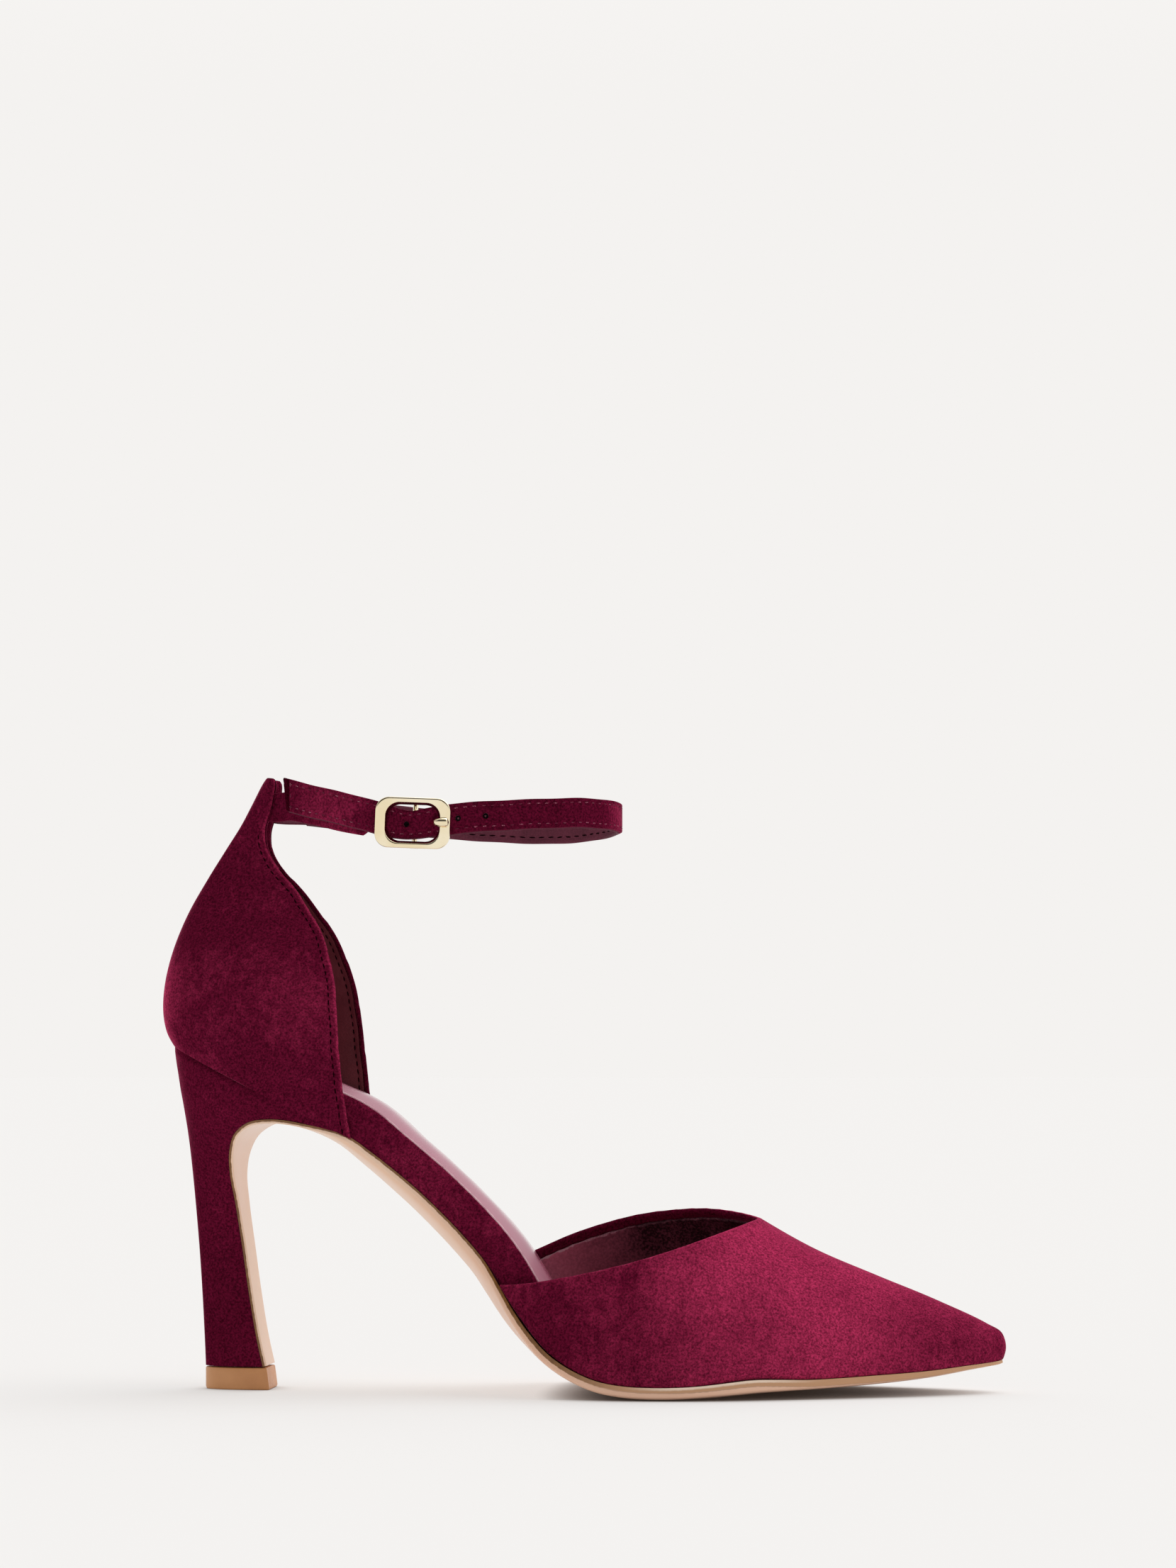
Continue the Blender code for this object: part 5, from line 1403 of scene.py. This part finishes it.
# Buckle bar and prong
# A round wire bar pressed between the lugs, and a prong bent from wire round it, which comes up through the
# strap and rests on the front of the ring.
BAR_HALF = LUG_LOW + 0.4
BAR_EDGE = [(-BAR_HALF, 0.8), (-BAR_HALF + 0.15, 1.0), (BAR_HALF - 0.15, 1.0), (BAR_HALF, 0.8)]
WIRE_SIDES = 24
WIRE_NUDGE = 0.02
PRONG_RADIUS = 0.75
PRONG_STATIONS = 90
HOOK_RADIUS = BAR_RADIUS + GAP + PRONG_RADIUS
HOOK_TURNS = np.radians([20, 65, 110, 155, 200, 245, 285])
PRONG_REST = FRAME_FRONT - GAP - PRONG_RADIUS
GIRTH_PLACES = [3.6, 4.6, 7.9]
GIRTHS = [1.0, 0.50, 1.75]
turn = np.linspace(0, 2 * math.pi, WIRE_SIDES, endpoint=False)
rings = []
for up, shrink in BAR_EDGE:
    radius = BAR_RADIUS * shrink
    rings.append(in_buckle(radius * np.cos(turn), BAR_Y + radius * np.sin(turn), up))
buckle_bar = make_piece("buckle_centre_bar", body_through(np.array(rings)), gold)
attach(buckle_bar, "root")
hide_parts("buckle_bar")

hook = [(BUCKLE_X + HOOK_RADIUS * math.cos(a), BAR_Y + HOOK_RADIUS * math.sin(a), BUCKLE_Z)
        for a in HOOK_TURNS]
shaft = [(BUCKLE_X + 3.1, BAR_Y - 2.4, BUCKLE_Z), (BUCKLE_X + 5.1, BAR_Y - 4.4, BUCKLE_Z),
         (BUCKLE_X + 7.0, PRONG_REST + 0.2, BUCKLE_Z), (BUCKLE_X + 10.1, PRONG_REST, BUCKLE_Z)]
wire = np.array(hook + shaft)
wire_knots = running_length(wire)
wire_line = curve_through(wire_knots, wire)
wire_at = np.linspace(0, wire_knots[-1], PRONG_STATIONS)
wire_ahead = run_of(wire_line, wire_at, wire_knots[-1], WIRE_NUDGE)
side = np.column_stack([-wire_ahead[:, 1], wire_ahead[:, 0], 0 * wire_at])
side /= np.linalg.norm(side, axis=1, keepdims=True)
from_end = np.minimum(wire_at, wire_knots[-1] - wire_at)
girth = PRONG_RADIUS * np.sqrt(np.clip(1 - (1 - np.clip(from_end / PRONG_RADIUS, 0, 1)) ** 2, 0.02, 1))
girth *= np.interp(wire_line(wire_at)[:, 0] - BUCKLE_X, GIRTH_PLACES, GIRTHS)
round_wire = side[:, None] * np.cos(turn)[:, None] + np.array([0.0, 0.0, 1.0]) * np.sin(turn)[:, None]
rings = wire_line(wire_at)[:, None] + round_wire * girth[:, None, None]
prong = make_piece("buckle_tongue", body_through(rings), gold)
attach(prong, "root")
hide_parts("buckle_prong")

# Floor, light and camera
# A pale studio sweep under a soft sky that is bright over the far side and dim over the camera, where a black
# flag hangs, with one broad lamp high above. The shoe is seen from its outer side.
FLOOR_TONE = (0.355, 0.354, 0.353)
FLOOR_GLOW = 0.600
FLOOR_REACH = 60.0
CONTACT_REACH = 9.0
BACKDROP = (0.905, 0.888, 0.871)
BRIGHT_SKY = (1.150, 1.128, 1.107)
DIM_SKY = (0.350, 0.345, 0.340)
BLACK_FLAG = (0.045, 0.040, 0.038)
FAR_SIDE = (0.35, 0.94, 0.0)
LAMP_ENERGY = 1.0
LAMP_SPREAD = 60.0
LAMP_AIM = np.array([-0.35, -0.25, -0.90])
CAMERA_PLACE = (0.1036, -1.1655, 0.0888)
CAMERA_TURN = 5.0
CAMERA_LENS = 96.4
CAMERA_SHIFT = 0.1835
sheet = bpy.data.meshes.new("floor")
corners = [(-FLOOR_REACH, -FLOOR_REACH, 0), (FLOOR_REACH, -FLOOR_REACH, 0), (FLOOR_REACH, FLOOR_REACH, 0),
           (-FLOOR_REACH, FLOOR_REACH, 0)]
sheet.from_pydata(corners, [], [(0, 1, 2, 3)])
paper, tree, surface, _ = new_finish("floor paper", Roughness=0.9, Specular_IOR_Level=0.0,
                                     Base_Color=(*FLOOR_TONE, 1.0), Emission_Color=(*BACKDROP, 1.0))
# The floor glows evenly to match the backdrop. Near the shoe, ambient occlusion fades the glow out as a
# painted contact shadow.
nearby = part_of(tree, "ShaderNodeAmbientOcclusion", "AO", {"Distance": CONTACT_REACH * MM}, samples=8)
tree.links.new(remap(tree, nearby, 0.0, 1.0, 0.0, FLOOR_GLOW), surface.inputs["Emission Strength"])
sheet.materials.append(paper)
floor = stand("floor", sheet)

world = bpy.data.worlds.new("studio")
bpy.context.scene.world = world
world.use_nodes = True
tree = world.node_tree
direction = part_of(tree, "ShaderNodeTexCoord", "Generated", {})
height = part_of(tree, "ShaderNodeSeparateXYZ", "Z", {"Vector": direction})
behind = part_of(tree, "ShaderNodeVectorMath", "Value", {0: direction, 1: FAR_SIDE}, operation="DOT_PRODUCT")
sky = mixed(tree, remap(tree, behind, -0.6, 0.5, 0.0, 1.0), DIM_SKY, BRIGHT_SKY)
flag_height = sums(tree, "MULTIPLY", remap(tree, height, 0.30, 0.44, 0.0, 1.0),
                   remap(tree, height, 0.74, 0.86, 1.0, 0.0))
flag = sums(tree, "MULTIPLY", remap(tree, behind, -0.55, -0.30, 1.0, 0.0), flag_height)
glow = mixed(tree, remap(tree, height, 0.22, 0.42, 0.0, 1.0), BACKDROP, mixed(tree, flag, sky, BLACK_FLAG))
tree.links.new(glow, tree.nodes["Background"].inputs["Color"])

lamp = bpy.data.lights.new("overhead lamp", "SUN")
lamp.energy = LAMP_ENERGY
lamp.angle = math.radians(LAMP_SPREAD)
overhead = stand("overhead lamp", lamp)
aim = LAMP_AIM / np.linalg.norm(LAMP_AIM)
overhead.rotation_euler = (math.acos(-aim[2]), 0.0, math.atan2(aim[1], aim[0]) - math.pi / 2)

camera_data = bpy.data.cameras.new("camera")
camera_data.lens = CAMERA_LENS
camera_data.sensor_width = 36.0
camera_data.clip_end = 200.0
camera_data.shift_y = CAMERA_SHIFT
camera = stand("camera", camera_data)
camera.location = CAMERA_PLACE
camera.rotation_euler = (math.radians(90), 0.0, math.radians(CAMERA_TURN))
bpy.context.scene.camera = camera
bpy.context.scene.view_settings.view_transform = "Standard"
